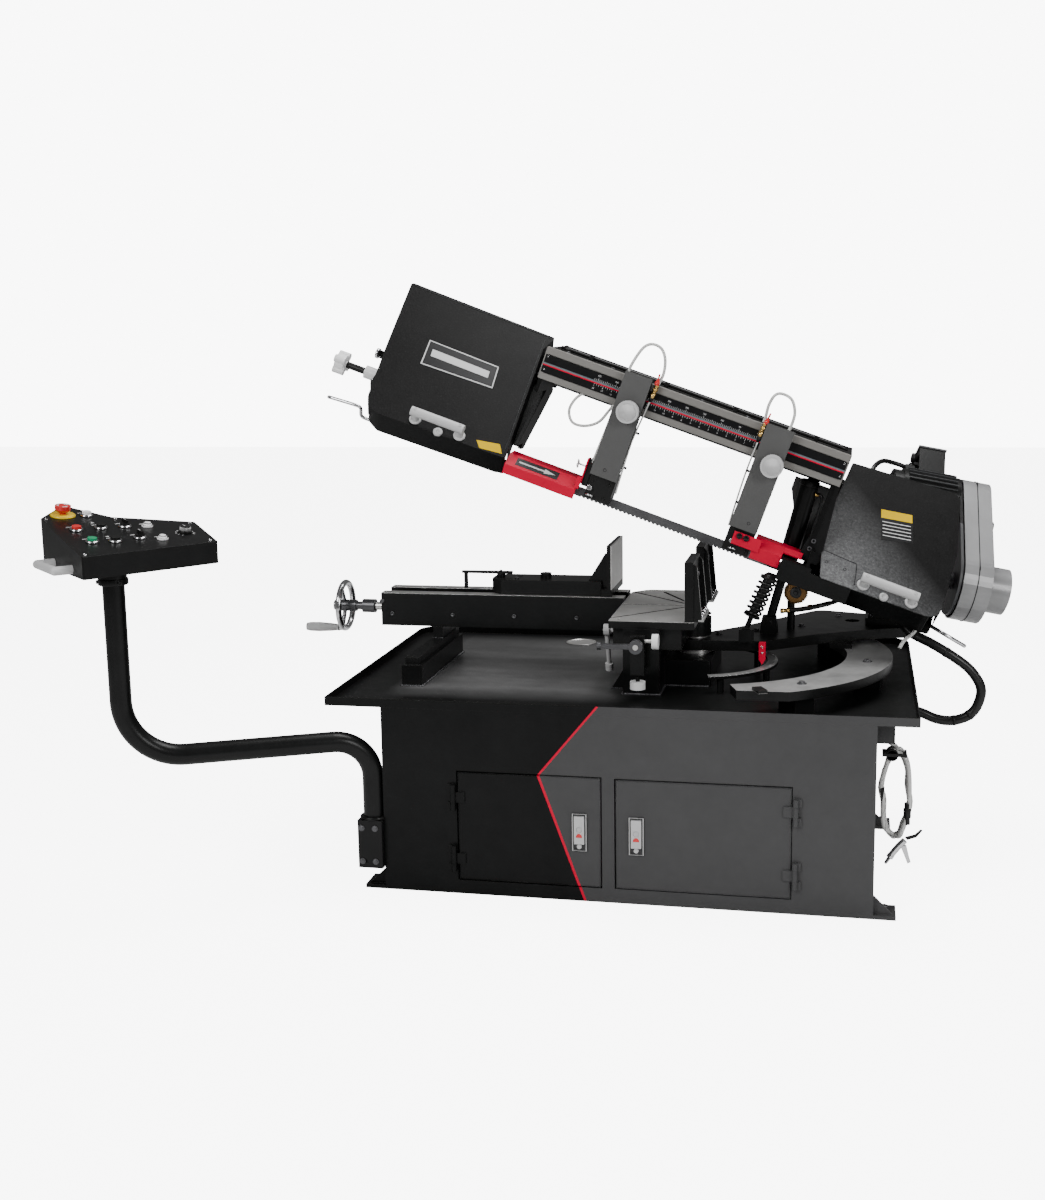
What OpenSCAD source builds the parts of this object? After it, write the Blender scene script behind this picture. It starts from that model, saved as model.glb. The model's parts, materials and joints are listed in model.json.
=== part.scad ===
// Swivel-head horizontal band saw on a cabinet base, with a swing-out control pendant.
// Frame: +X to the drive side, +Y to the back, +Z up, origin on the floor under the
// cabinet centre. Millimetres.

/* [Cabinet] */
// Width of the base cabinet
cab_w = 1250; // [1246:1:1254]
// Depth of the base cabinet
cab_d = 800; // [780:5:820]
// Height of the base cabinet under the chip tray
cab_h = 491; // [491:1:491]
// Sheet thickness of the cabinet walls
sheet = 4; // [3:0.5:5]
// Radius of the floor bolt holes in the feet
foot_hole_r = 7; // [5:0.5:8]

/* [Chip tray] */
// Height of the tray rim above the cabinet
rim_h = 22.4; // [18:0.4:26]
// Corner radius at the back of the tray
tray_r = 60; // [30:5:90]

/* [Work table] */
// Thickness of the slotted table plate
table_t = 20; // [16:1:24]
// Width of the blade slots in the table
slot_w = 9; // [7:0.5:11]
// Height of the fixed jaws above the table
jaw_h = 156; // [140:1:157]

/* [Vise] */
// Radius of the vise screw
screw_r = 10; // [8:0.5:11]
// Radius of the vise handwheel
wheel_r = 76; // [70:1:82]
// Number of handwheel spokes
spokes = 3; // [3:1:5]

/* [Head] */
// Radius of both band wheels
band_r = 165; // [165:1:165]
// Width of the saw blade
blade_w = 27; // [25:0.5:27]
// Thickness of the saw blade
blade_t = 1.1; // [0.9:0.1:1.3]
// Spacing of the blade teeth
pitch = 12; // [8:1:20]
// Wall thickness of the head's box beam
beam_t = 8; // [5:1:10]

/* [Pendant] */
// Outer radius of the pendant tube
tube_r = 27; // [25:0.5:27]
// Wall thickness of the pendant tube
tube_t = 3; // [2:0.5:5]

/* [Fits] */
// Radial running clearance of shafts and pins
fit = 0.05; // [0.02:0.01:0.1]

/* [Hidden] */
$fn = 48;
black = [0.06, 0.065, 0.065];
grey = [0.28, 0.28, 0.29];
pale = [0.75, 0.76, 0.77];
steel = [0.62, 0.62, 0.62];
red = [0.75, 0.05, 0.12];

// ---------- helpers ----------
// Box, and rods along each axis, given by their end coordinates
module box(x0, x1, y0, y1, z0, z1)
  translate([x0, y0, z0]) cube([x1 - x0, y1 - y0, z1 - z0]);
module rod_x(x0, x1, y, z, r) translate([x0, y, z]) rotate([0, 90, 0]) cylinder(h = x1 - x0, r = r);
module rod_y(x, y0, y1, z, r) translate([x, y0, z]) rotate([-90, 0, 0]) cylinder(h = y1 - y0, r = r);
module rod_z(x, y, z0, z1, r) translate([x, y, z0]) cylinder(h = z1 - z0, r = r);

function unit(v) = v / norm(v);
function left_of(v) = [-v.y, v.x];
function turn(v, a) = [v.x * cos(a) - v.y * sin(a), v.x * sin(a) + v.y * cos(a)];
// Counter-clockwise outline moved inwards by dist
function inset(points, dist) =
  let(n = len(points))
  [for (i = [0:n - 1]) let(
    normal_in = left_of(unit(points[i] - points[(i + n - 1) % n])),
    normal_out = left_of(unit(points[(i + 1) % n] - points[i])))
    points[i] + (normal_in + normal_out) * dist / (1 + normal_in * normal_out)];
// Outline with its corners rounded to radius r, one for all or a list; below 0.1 stays sharp
function fillet(points, r, steps = 5) =
  let(n = len(points))
  [for (i = [0:n - 1]) let(
    corner = points[i],
    dir_in = unit(corner - points[(i + n - 1) % n]),
    dir_out = unit(points[(i + 1) % n] - corner),
    side = dir_in.x * dir_out.y - dir_in.y * dir_out.x >= 0 ? 1 : -1,
    angle = acos(max(-1, min(1, dir_in * dir_out))),
    radius = is_list(r) ? r[i] : r,
    start = corner - dir_in * radius * tan(angle / 2),
    centre = start + left_of(dir_in) * radius * side)
    each (radius < 0.1 || angle < 1 ? [corner]
      : [for (j = [0:steps]) centre + turn(start - centre, side * angle * j / steps)])];

module plate(points, z0, z1, r = 0)
  translate([0, 0, z0]) linear_extrude(z1 - z0) polygon(fillet(points, r));
// Plate standing in the XZ plane between y0 and y1
module wall_y(points, y0, y1, r = 0)
  translate([0, y1, 0]) rotate([90, 0, 0]) linear_extrude(y1 - y0) polygon(fillet(points, r));
// Plate standing in the YZ plane between x0 and x1
module wall_x(points, x0, x1)
  translate([x0, 0, 0]) rotate([90, 0, 90]) linear_extrude(x1 - x0) polygon(points);

// ---------- shared places ----------
half_w = cab_w / 2;
front_y = -480;
back_y = front_y + cab_d;
tray_t = 4;
tray_z = cab_h + tray_t;
body_z = 612;
table_z = 670;
jaw_z = 690;
// Swivel pivot of the head and the levels of the swivel arm
pivot = [138, -15];
pivot_r = 35;
arm_z = 578;
arm_top = 606;
// Head frame: X along the blade towards the drive side, Z square to it; origin on the
// head's pivot
head_x = 651;
head_z = 716;
head_pin_r = 20;
rest_tilt = 20;
module in_head() translate([head_x, 0, head_z]) rotate([0, rest_tilt, 0]) children();
// Wheel frame inside the head, tipped 45 degrees; Z is the wheel axis, towards the operator
module in_wheel() in_head() translate([0, 119.35, 118.4]) rotate([45, 0, 0]) children();
wheel_y = -24.42;
idler_x = -1320;
drive_x = -38;
axle_r = 20;

// ---------- base ----------
module foot(side, y0, gusset_y) {
  difference() {
    union() {
      box(side > 0 ? half_w : -half_w - 55, side > 0 ? half_w + 55 : -half_w, y0, y0 + 80, 0, 10);
      wall_y(side > 0 ? [[half_w, 5], [half_w + 52, 5], [half_w, 56]]
        : [[-half_w, 5], [-half_w, 56], [-half_w - 52, 5]], gusset_y, gusset_y + 8);
    }
    rod_z(side * 652, y0 + 50, -1, 11, foot_hole_r);
  }
}

hinge_y = front_y - 8;
hinge_pin_r = 3;
left_hinge_x = -435;
right_hinge_x = 434;
left_hinge_z = [63, 227];
right_hinge_z = [67, 231];
// Hinge barrel with a tab reaching sideways from it
module knuckle(x, reach, tab_back, z, h) {
  rod_z(x, hinge_y, z, z + h, 7);
  box(min(x, x + reach), max(x, x + reach), front_y - 6, tab_back, z, z + h);
}
module cabinet_hinge(x, side, z0) {
  difference() {
    for (z = [z0, z0 + 49]) knuckle(x, side * 14, front_y, z, 20);
    rod_z(x, hinge_y, z0 - 1, z0 + 71, hinge_pin_r);
  }
  rod_z(x, hinge_y, z0, z0 + 69, hinge_pin_r);
}

module base_cabinet() color(grey) {
  inner = half_w - sheet;
  difference() {
    box(-half_w, half_w, front_y, back_y, 0, cab_h);
    box(-inner, inner, front_y + sheet, back_y - sheet, 6, cab_h + 1);
    // door openings
    box(-427, -49, front_y - 1, front_y + sheet + 1, 37, 331);
    box(-17, 426, front_y - 1, front_y + sheet + 1, 38, 329);
    // cooling slots in the back wall
    for (i = [0:5])
      box(250, 400, back_y - sheet - 1, back_y + 1, 120 + 24 * i, 128 + 24 * i);
  }
  // folded stiffeners: beside the door openings and along the top of the front wall
  box(-44, -22, front_y + sheet, front_y + 26, 6, cab_h);
  box(-inner, inner, front_y + sheet, front_y + 34, cab_h - 30, cab_h);
  // bracket on the drive side
  for (y = [-400, -300]) box(half_w, half_w + 40, y, y + 8, 430, cab_h);
  box(half_w, half_w + 4, -392, -300, 430, cab_h);
  for (side = [-1, 1]) {
    foot(side, -480, -466);
    foot(side, 220, 228);
  }
  for (z = right_hinge_z) cabinet_hinge(right_hinge_x, 1, z);
  for (z = left_hinge_z) cabinet_hinge(left_hinge_x, -1, z);
}

// Plan of the tray, moved inwards
module tray_plan(inwards, front_r) {
  x0 = -776.5 + inwards;
  x1 = 725 - inwards;
  y0 = front_y + inwards;
  y1 = 485 - inwards;
  back_r = tray_r - inwards;
  polygon(fillet([[x0, y0], [x1, y0], [x1, y1], [x0, y1]], [front_r, front_r, back_r, back_r]));
}
module chip_tray() color(black) difference() {
  translate([0, 0, cab_h]) linear_extrude(rim_h) tray_plan(0, 3);
  translate([0, 0, tray_z]) linear_extrude(rim_h) tray_plan(tray_t, 2);
  // grid of drain holes
  for (i = [-2:2], j = [-2:2]) rod_z(-250 + 14 * i, 380 + 14 * j, cab_h - 1, tray_z + 1, 4);
}

pump = [-250, 25];
module coolant_unit() color([0.35, 0.4, 0.45]) {
  difference() {
    box(-560, -90, -150, 200, 6, 240);
    box(-556, -94, -146, 196, 10, 236);
    rod_z(pump.x, pump.y, 230, 245, 30);
  }
  // pump body standing in the tank lid: bottom and top of each step, radius
  for (step = [[60, 240, 29.9], [240, 262, 60], [262, 380, 48], [380, 392, 40]])
    rod_z(pump.x, pump.y, step[0], step[1], step[2]);
  // outlet
  rod_x(-200, -150, pump.y, 275, 14);
}

socket_at = [-656, -464.5];
module pendant_socket() color(black) difference() {
  plate([[-692, -500], [-625, -500], [-625, -428], [-692, -428]], 62, 190, 4);
  rod_z(socket_at.x, socket_at.y, 92, 200, tube_r + fit);
  rod_y(-670, -501, -496, 80, 5);
}

module infeed_support() color(black) {
  box(-633, -576, -253, 192, tray_z, 552);
  box(-624, -585, -246, 186, 552, 572);
  box(-618, -590, 20, 170, 572, 605);
}

// ---------- table and vise bed ----------
// Vise screw axis, bed top, journal and end pin radii
vise_y = 95;
screw_z = 648;
bed_top = 700;
journal_r = screw_r + 3;
end_pin_r = screw_r - 2;
module vise_bed() color(black) difference() {
  union() {
    for (y = [25, 125]) box(-773, -66, y, y + 40, 620, bed_top);
    box(-773, -66, 25, 165, 605, 620);
    box(-773, -757, 65, 125, 620, 690);
    box(-82, -66, 65, 125, 620, 660);
    rod_x(-788, -773, vise_y, screw_z, 24);
  }
  rod_x(-790, -740, vise_y, screw_z, journal_r + fit);
  rod_x(-83, -65, vise_y, screw_z, end_pin_r + fit);
  for (y = [45, 145]) rod_z(-750, y, 690, bed_top + 1, 5);
}

// Axes of the length stop rod and of the table clamp lever
stop_x = 20;
stop_z = 640;
stop_r = 9;
stop_tip_r = 7;
lever_y = -110;
lever_z = 636;
lever_pin_r = 8;
module table_column() color(black) {
  difference() {
    union() {
      box(-26, 70, -262, 190, tray_z, table_z);
      plate([[60, -150], [194, -150], [194, 190], [60, 190]], tray_z, 566, 8);
      // table body over the swivel hub
      difference() {
        box(-55, 125, -240, 215, body_z, table_z);
        rod_z(pivot.x, pivot.y, 600, table_z + 1, 45);
      }
      difference() {
        rod_z(pivot.x, pivot.y, body_z, table_z, 45);
        box(60, 200, -80, 80, 660, 669);
      }
      // left cheek that carries the vise bed and the clamp lever
      box(-60, -26, -120, -100, body_z, table_z);
    }
    // socket of the swivel pivot shaft
    rod_z(pivot.x, pivot.y, 540, 640, pivot_r);
    // pocket in front for the stop rod
    rod_y(stop_x, -263, -230, stop_z, stop_r);
    rod_x(-61, -20, lever_y, lever_z, lever_pin_r + fit);
  }
  // webs at the foot
  for (y = [-200, 0, 120])
    wall_y([[-26, tray_z], [-26, 560], [-66, tray_z]], y, y + 8);
}

// Blade slots: angle, length
slots = [[180, 244], [225, 329], [135, 318], [118, 276]];
table_screws = [[-40, -235], [60, -235], [145, -235], [-30, 205], [60, 210], [145, 210]];
module saw_table() color(steel) difference() {
  plate([[-65, -260], [160, -260], [160, 229], [-20, 229], [-65, 184]],
    table_z, table_z + table_t, [6, 6, 12, 40, 30]);
  // the slots meet over the swivel pivot
  for (slot = slots)
    translate([pivot.x, pivot.y, 676]) rotate([0, 0, slot[0]])
      translate([-40, -slot_w / 2, 0]) cube([slot[1], slot_w, 30]);
  rod_z(pivot.x, pivot.y, 676, 700, 14);
  for (at = table_screws) rod_z(at.x, at.y, 660, 700, 4.5);
}

module jaw(y0, y1, ribs) {
  jaw_top = jaw_z + jaw_h;
  difference() {
    box(134, 157, y0, y1, jaw_z, jaw_top);
    for (z = [730, 800]) rod_x(133, 140, (y0 + y1) / 2, z, 6);
  }
  for (y = ribs)
    wall_y([[156, jaw_z], [178, jaw_z], [178, 704], [166, jaw_top - 14], [156, jaw_top - 4]],
      y, y + 10);
  box(156, 170, min(ribs) - 2, max(ribs) + 12, jaw_z + 0.2, 697);
}
module fixed_jaws() color(grey) {
  jaw(-255, -88, [-250, -104]);
  jaw(34, 201, [40, 184]);
}

// Moves children out from the swivel pivot, without turning them
module at_polar(angle, radius, z)
  translate([pivot.x + radius * cos(angle), pivot.y + radius * sin(angle), z]) children();
// Flat bar bent round the swivel pivot
module arc_bar(start, sweep, inner_r, width, z, h)
  translate([pivot.x, pivot.y, z]) rotate([0, 0, start])
    rotate_extrude(angle = sweep, $fn = 96) translate([inner_r, 0]) square([width, h]);

ring_z = 541;
ring_top = ring_z + 24;
module swivel_ring() color(steel) {
  difference() {
    intersection() {
      arc_bar(-72, 128, 410, 120, ring_z, ring_top - ring_z);
      box(0, 800, -468, 500, 530, 600);
    }
    for (a = [-50, -10, 30]) at_polar(a, 470, 540) cylinder(h = 30, r = 7);
  }
  // blocks that stand on the tray
  for (a = [-52, -8, 38])
    at_polar(a, 470, tray_z) rotate([0, 0, a]) translate([-35, -28, 0])
      cube([70, 56, ring_z - tray_z]);
  // end stops for the head
  for (a = [-66, 52])
    translate([pivot.x, pivot.y, ring_top]) rotate([0, 0, a])
      translate([480, -12, 0]) cube([45, 24, 8]);
}

module scale_arc() color(pale) {
  scale_z = 534;
  intersection() {
    arc_bar(-75, 140, 198, 28, scale_z, 8);
    box(0, 800, -400, 400, 500, 600);
  }
  for (a = [-66, -20, 40]) at_polar(a, 212, tray_z) cylinder(h = scale_z - tray_z, r = 9);
}

// Rod in the table front with its clamp bracket and two knobs
module stop_rod() color(steel) {
  clamp_y = -311;
  rod_y(stop_x, -330, -230, stop_z, stop_r);
  rod_y(stop_x, -356, -330, stop_z, stop_tip_r);
  difference() {
    box(2, 38, -322, -300, 560, 662);
    rod_y(stop_x, -331, -290, stop_z, stop_r);
    rod_z(stop_x, clamp_y, 555, 665, 6);
  }
  rod_z(stop_x, clamp_y, 540, 556, 5.9);
  color("white") {
    rod_z(stop_x, clamp_y, 522, 542, 20);
    rod_x(38, 58, clamp_y, 648, 5);
    rod_x(58, 74, clamp_y, 648, 20);
  }
}
// Swing-down length stop on the end of the rod
module stop_arm() color(steel) {
  difference() {
    union() {
      rod_y(stop_x, -354, -334, stop_z, 18);
      box(-70, 10, -352, -336, 634, 646);
    }
    rod_y(stop_x, -360, -330, stop_z, stop_tip_r + fit);
  }
  rod_x(-80, -70, -344, stop_z, 10);
}

module table_clamp_lever() color(black) {
  rod_x(-84, -30, lever_y, lever_z, lever_pin_r);
  rod_x(-100, -84, lever_y, lever_z, 16);
  translate([-92, lever_y, lever_z]) rotate([200, 0, 0]) {
    translate([0, 0, 12]) cylinder(h = 96, r1 = 7, r2 = 6);
    translate([0, 0, 108]) cylinder(h = 20, r = 11);
  }
}

// ---------- doors ----------
// Latch centres: x, z
left_latch_at = [-106, 185];
right_latch_at = [39.5, 182];
module door(x0, x1, z0, z1, hinge_x, side, hinge_zs, latch_at) {
  difference() {
    box(x0, x1, front_y - 2, front_y + 18, z0, z1);
    box(x0 + 2, x1 - 2, front_y, front_y + 19, z0 + 2, z1 - 2);
  }
  for (z = hinge_zs) difference() {
    knuckle(hinge_x, -side * 30, front_y - 2, z + 20.5, 28);
    rod_z(hinge_x, hinge_y, z, z + 80, hinge_pin_r + fit);
  }
  // latch housing
  translate([latch_at[0], front_y, latch_at[1]]) difference() {
    box(-17, 17, -6, -2, -48, 48);
    box(-14, 14, -7, -3, -45, 45);
  }
}
module left_door() color(black)
  door(-423, -52, 41, 328, left_hinge_x, -1, left_hinge_z, left_latch_at);
module right_door() color(grey)
  door(-13, 424, 41, 326, right_hinge_x, 1, right_hinge_z, right_latch_at);

module latch(at) translate([at[0], front_y, at[1]]) {
  difference() {
    box(-13, 13, -11, -4, -30, 43);
    translate([0, -11, 8]) rotate([90, 0, 0]) translate([0, 0, -3]) cylinder(h = 5, r = 8);
  }
  rod_y(0, -9, -4, -37, 6);
}
module left_latch() color(pale) latch(left_latch_at);
module right_latch() color(pale) latch(right_latch_at);

// ---------- pendant ----------
// The tube rises from the socket, runs level at run_z and rises again as the post
post = [-1212.4, -745.4];
run_z = 402;
run = post - socket_at;
run_l = norm(run);
run_angle = atan2(run.y, run.x);
socket_bend = 100;
post_bend = 150;
module elbow(x, z, start, bend, r)
  translate([x, 0, z]) rotate([90, 0, 0]) rotate([0, 0, start])
    rotate_extrude(angle = 90) translate([bend, 0]) circle(r);
module pipe(r) translate([socket_at.x, socket_at.y, 0]) rotate([0, 0, run_angle]) {
  rod_z(0, 0, 94, run_z - socket_bend, r);
  elbow(socket_bend, run_z - socket_bend, 90, socket_bend, r);
  rod_x(socket_bend, run_l - post_bend, 0, run_z, r);
  elbow(run_l - post_bend, run_z + post_bend, 270, post_bend, r);
  rod_z(run_l, 0, run_z + post_bend, 876, r);
}
module pendant_arm() color(black) difference() {
  pipe(tube_r);
  pipe(tube_r - tube_t);
}

// Control box frame, and a panel frame on its sloping face
box_z = 880;
panel_slope = 11.2;
box_low_h = 54.5;
module in_box() translate([-1210.5, -894.3, box_z]) rotate([0, 0, 53.9]) children();
// Places children at a plan point of the box, on the panel
module on_panel(at)
  in_box() translate([0, 0, box_low_h]) rotate([panel_slope, 0, 0])
    translate([at.x, at.y / cos(panel_slope), 0]) children();

box_outline = [[0, 0], [364, 0], [394, 165], [216, 270], [146, 401], [45, 312]];
// Plan points of the controls, lamps and corner screws
estop_at = [106, 316];
white_at = [162, 298];
red_at = [83, 195];
up_at = [147, 192];
green_at = [75, 97];
down_at = [130, 85];
left_selector_at = [208, 184];
right_selector_at = [198, 89];
speed_at = [324, 90];
small_controls = [white_at, red_at, up_at, green_at, down_at, left_selector_at,
  right_selector_at];
lamps = [[261, 167], [245, 62]];
panel_screws = [[14, 14], [350, 14], [376, 158], [146, 378], [54, 300]];
stem_r = 8;

// Body with a sloping top, moved inwards on every face
module box_solid(inwards) difference() {
  translate([0, 0, inwards]) linear_extrude(160)
    polygon(fillet(inset(box_outline, inwards), max(1, 5 - inwards)));
  translate([0, 0, box_low_h - inwards]) rotate([panel_slope, 0, 0])
    translate([-200, -100, 0]) cube([900, 900, 300]);
}
module bezel(r) difference() {
  cylinder(h = 5, r = r);
  translate([0, 0, -1]) cylinder(h = 7, r = r - 3.4);
}
module control_box() {
  color(black) difference() {
    in_box() box_solid(0);
    in_box() box_solid(3);
    for (at = concat(small_controls, [estop_at, speed_at]))
      on_panel(at) translate([0, 0, -20]) cylinder(h = 40, r = stem_r + fit);
  }
  // collar on the post
  color(black) difference() {
    rod_z(post.x, post.y, 845, box_z, 34);
    rod_z(post.x, post.y, 840, box_z - 2, tube_r + fit);
  }
  color(steel) {
    for (at = small_controls) on_panel(at) bezel(15.5);
    on_panel(estop_at) bezel(30);
  }
  // pilot lamps
  color("white") for (at = lamps) on_panel(at) {
    cylinder(h = 5, r = 13);
    translate([0, 0, 5]) cylinder(h = 6, r = 10);
  }
  color(steel) for (at = panel_screws) on_panel(at) cylinder(h = 2.5, r = 5);
}

module stem(h) translate([0, 0, -14]) cylinder(h = h, r = stem_r);
module push_cap() {
  stem(20);
  translate([0, 0, 6]) cylinder(h = 6, r = 11.5);
}
module selector() {
  stem(20);
  translate([0, 0, 6]) cylinder(h = 5, r = 11.8);
  translate([-3.5, -11, 11]) cube([7, 22, 9]);
}
module estop_button() color(red) on_panel(estop_at) {
  stem(34);
  translate([0, 0, 12]) cylinder(h = 6, r1 = 15, r2 = 20);
  translate([0, 0, 18]) cylinder(h = 10, r = 20);
}
module white_button() color("white") on_panel(white_at) push_cap();
module red_button() color(red) on_panel(red_at) push_cap();
module green_button() color([0, 0.5, 0.25]) on_panel(green_at) push_cap();
module up_button() color(black) on_panel(up_at) push_cap();
module down_button() color(black) on_panel(down_at) push_cap();
module selector_left() color(black) on_panel(left_selector_at) selector();
module selector_right() color(black) on_panel(right_selector_at) selector();
module speed_knob() color(black) on_panel(speed_at) {
  stem(16);
  translate([0, 0, 1.5]) cylinder(h = 4, r = 17);
  translate([0, 0, 5.5]) cylinder(h = 12, r = 13);
}

module panel_handle() color(pale) in_box() translate([21.2, 150.1, 16]) rotate([0, 0, 90 - 8.2]) {
  half_l = 70;
  stand_off = 42;
  bar_r = 11;
  for (x = [-half_l, half_l]) {
    translate([x, 0, 0]) rotate([-90, 0, 0]) cylinder(h = stand_off, r = bar_r);
    translate([x, stand_off, 0]) sphere(r = bar_r);
  }
  translate([-half_l, stand_off, 0]) rotate([0, 90, 0]) cylinder(h = 2 * half_l, r = bar_r);
}

// ---------- vise ----------
slide_top = 742;
module moving_jaw() color(black) {
  // slide block on the two rails, with the nut tongue between them
  plate([[-452, 70], [-420, 40], [-130, 40], [-130, 150], [-420, 150], [-452, 120]],
    bed_top, slide_top, 4);
  difference() {
    union() {
      box(-415, -325, 68, 122, 664, bed_top);
      box(-395, -345, 72, 118, 628, 664);
    }
    rod_x(-416, -324, vise_y, screw_z, screw_r + fit);
  }
  // jaw plate and its gussets
  box(-130, -100, 30, 245, 702, 722);
  color(steel) box(-114, -100, 30, 245, 722, 845);
  for (y = [52, 130])
    wall_y([[-130, 722], [-114, 722], [-114, 820], [-122, 820], [-170, slide_top],
      [-130, slide_top]], y, y + 10);
  color(steel) rod_z(-300, vise_y, slide_top, 756, 16);
}

module vise_lock_lever() color(black) {
  lock_x = -432;
  rod_z(lock_x, vise_y, slide_top + 0.1, 752, 12);
  difference() {
    plate([[-548, 87], [-398, 84], [-398, 106], [-548, 103]], 752, 758, 6);
    rod_z(lock_x, vise_y, 751, 759, 4);
  }
  rod_z(lock_x, vise_y, 752, 762, 4);
  rod_z(-536, vise_y, 708, 752, 6);
}

handwheel_x = -905;
rim_r = 9;
crank_z = screw_z - wheel_r + rim_r;
crank_r = 5;
module vise_handwheel() color(pale) {
  // vise screw and its journal: start and end in x, radius
  for (step = [[-870, -790, 12], [-790, -741, journal_r], [-741, -90, screw_r],
      [-90, -62, end_pin_r]])
    rod_x(step[0], step[1], vise_y, screw_z, step[2]);
  color(black) rod_x(-850, -812, vise_y, screw_z, 20);
  // handwheel hub, rim and spokes
  rod_x(-935, -870, vise_y, screw_z, 17);
  translate([handwheel_x, vise_y, screw_z]) {
    rotate([0, 90, 0]) rotate_extrude() translate([wheel_r - rim_r, 0]) circle(rim_r);
    for (i = [0:spokes - 1])
      rotate([i * 360 / spokes + 30, 0, 0]) cylinder(h = wheel_r - 8, r = 6);
  }
  // crank pin
  rod_x(-925, handwheel_x, vise_y, crank_z, 9);
  rod_x(-1030, -925, vise_y, crank_z, crank_r);
}
module handwheel_grip() color(pale) {
  bore = crank_r + fit;
  translate([-1028, vise_y, crank_z]) rotate([0, 90, 0]) rotate_extrude()
    polygon([[bore, 0], [11, 0], [13.5, 12], [14, 40], [12, 75], [9.5, 96], [11, 100],
      [bore, 100]]);
}

// ---------- swivel ----------
// Feed cylinder axis between the swivel arm and the head: lower and upper ends, x and z
cylinder_low = [335, 634];
cylinder_high = [418, 940];
cylinder_y = 61;
cylinder_axis = cylinder_high - cylinder_low;
cylinder_l = norm(cylinder_axis);
cylinder_tilt = atan2(cylinder_axis.x, cylinder_axis.y);
piston_rod_r = 12.5;
trunnion_r = 9;

arm_outline = [[150, -72], [180, -72], [324, -67], [470, 52], [640, 150], [720, 170],
  [720, 335], [461, 420], [256, 140], [170, 46], [150, 46]];
arm_radii = [0, 20, 60, 60, 30, 10, 10, 40, 60, 20, 0];
module swivel_arm() color(black) {
  difference() {
    union() {
      rod_z(pivot.x, pivot.y, arm_z, arm_top, 62);
      plate(arm_outline, arm_z, arm_top, arm_radii);
    }
    rod_z(pivot.x, pivot.y, 570, 620, pivot_r + fit);
    // eight-sided swivel lock hole
    translate([0, 0, 570]) linear_extrude(50)
      polygon([for (i = [0:8]) [560, 260] + 22 * [cos(i * 45), sin(i * 45)]]);
  }
  // head pivot tower: two ears on a base
  difference() {
    union() {
      box(head_x - 55, head_x + 55, 186, 320, arm_top, 628);
      for (y = [190, 295]) {
        wall_y([[head_x - 51, arm_top], [head_x + 51, arm_top], [head_x + 38, head_z],
          [head_x - 38, head_z]], y, y + 20);
        rod_y(head_x, y, y + 20, head_z, 38);
      }
    }
    rod_y(head_x, 180, 330, head_z, head_pin_r);
  }
  // spring lug
  difference() {
    wall_x([[-50, arm_top], [-90, arm_top], [-84, 640], [-56, 640]], 262, 300);
    rod_x(250, 310, -70, 626, 4);
  }
  // feed cylinder lugs and their pin
  for (y = [39.5, 75]) difference() {
    wall_y([[310, 605], [360, 605], [354, 652], [316, 652]], y, y + 7.5, 4);
    rod_y(cylinder_low.x, 30, 90, cylinder_low.y, 8);
  }
  rod_y(cylinder_low.x, 38.5, 83.5, cylinder_low.y, 8.02);
  // low post behind the spring
  rod_z(392, 118, 605, 700, 11);
  rod_z(392, 118, 699, 706, 14);
  // clamp under the arm, riding on the swivel ring
  box(500, 560, 60, 120, ring_top + 0.1, arm_z);
}

module pivot_shaft() color(steel) {
  difference() {
    rod_z(pivot.x, pivot.y, 560, 612, pivot_r);
    rod_z(pivot.x, pivot.y, 600, 613, 8);
  }
  rod_z(pivot.x, pivot.y, 566.2, arm_z - 0.2, 52);
}
module angle_pointer() color(red) {
  wall_y([[316, 606], [334, 606], [334, 560], [325, 545], [316, 560]], -86, -82);
  box(316, 334, -82.5, -68, 590, 605.5);
}
module head_pivot_shaft() color(steel) {
  rod_y(head_x, 184, 321, head_z, head_pin_r);
  rod_y(head_x, 180, 184, head_z, 26);
}

// Z runs up the cylinder axis
module in_cylinder()
  translate([cylinder_low.x, cylinder_y, cylinder_low.y]) rotate([0, cylinder_tilt, 0])
    children();
module feed_cylinder() color(black) in_cylinder() {
  difference() {
    rod_z(0, 0, cylinder_l - 130, cylinder_l + 90, 25);
    rod_z(0, 0, cylinder_l - 131, cylinder_l + 81, piston_rod_r + fit);
  }
  // trunnion on the back
  translate([0, 0, cylinder_l]) rotate([-90, 0, 0]) translate([0, 0, 20])
    cylinder(h = 20, r = trunnion_r);
}
module cylinder_rod() color(steel) in_cylinder() {
  rod_z(0, 0, 20, 290, piston_rod_r);
  // eye
  difference() {
    translate([0, 10, 0]) rotate([90, 0, 0]) cylinder(h = 20, r = 22);
    translate([0, 11, 0]) rotate([90, 0, 0]) cylinder(h = 22, r = 16);
  }
}

// Sleeve beside the blade
module balance_spring() color(black)
  translate([284, -66, 650]) rotate([0, 23.5, 0]) difference() {
    rod_z(0, 0, 30, 140, 22);
    rod_z(0, 0, 29, 141, 15);
  }

// ---------- head ----------
// Wheel cover outlines in the wheel frame: x, y
left_outline = [[-1479, -225], [-1096, -216], [-1144, 191], [-1127, 246], [-1587, 261],
  [-1553, 7], [-1520, -200]];
right_outline = [[-190, -221], [136, -218], [132, 1], [96, 208], [-212, 186], [-219, 67],
  [-223, -51], [-206, -156]];
// Cover open at the back, with a 3 mm wall
module casing(outline, radii) difference() {
  translate([0, 0, -14]) linear_extrude(74) polygon(fillet(outline, radii));
  translate([0, 0, -15]) linear_extrude(72) polygon(fillet(inset(outline, 3), 4));
}
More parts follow.
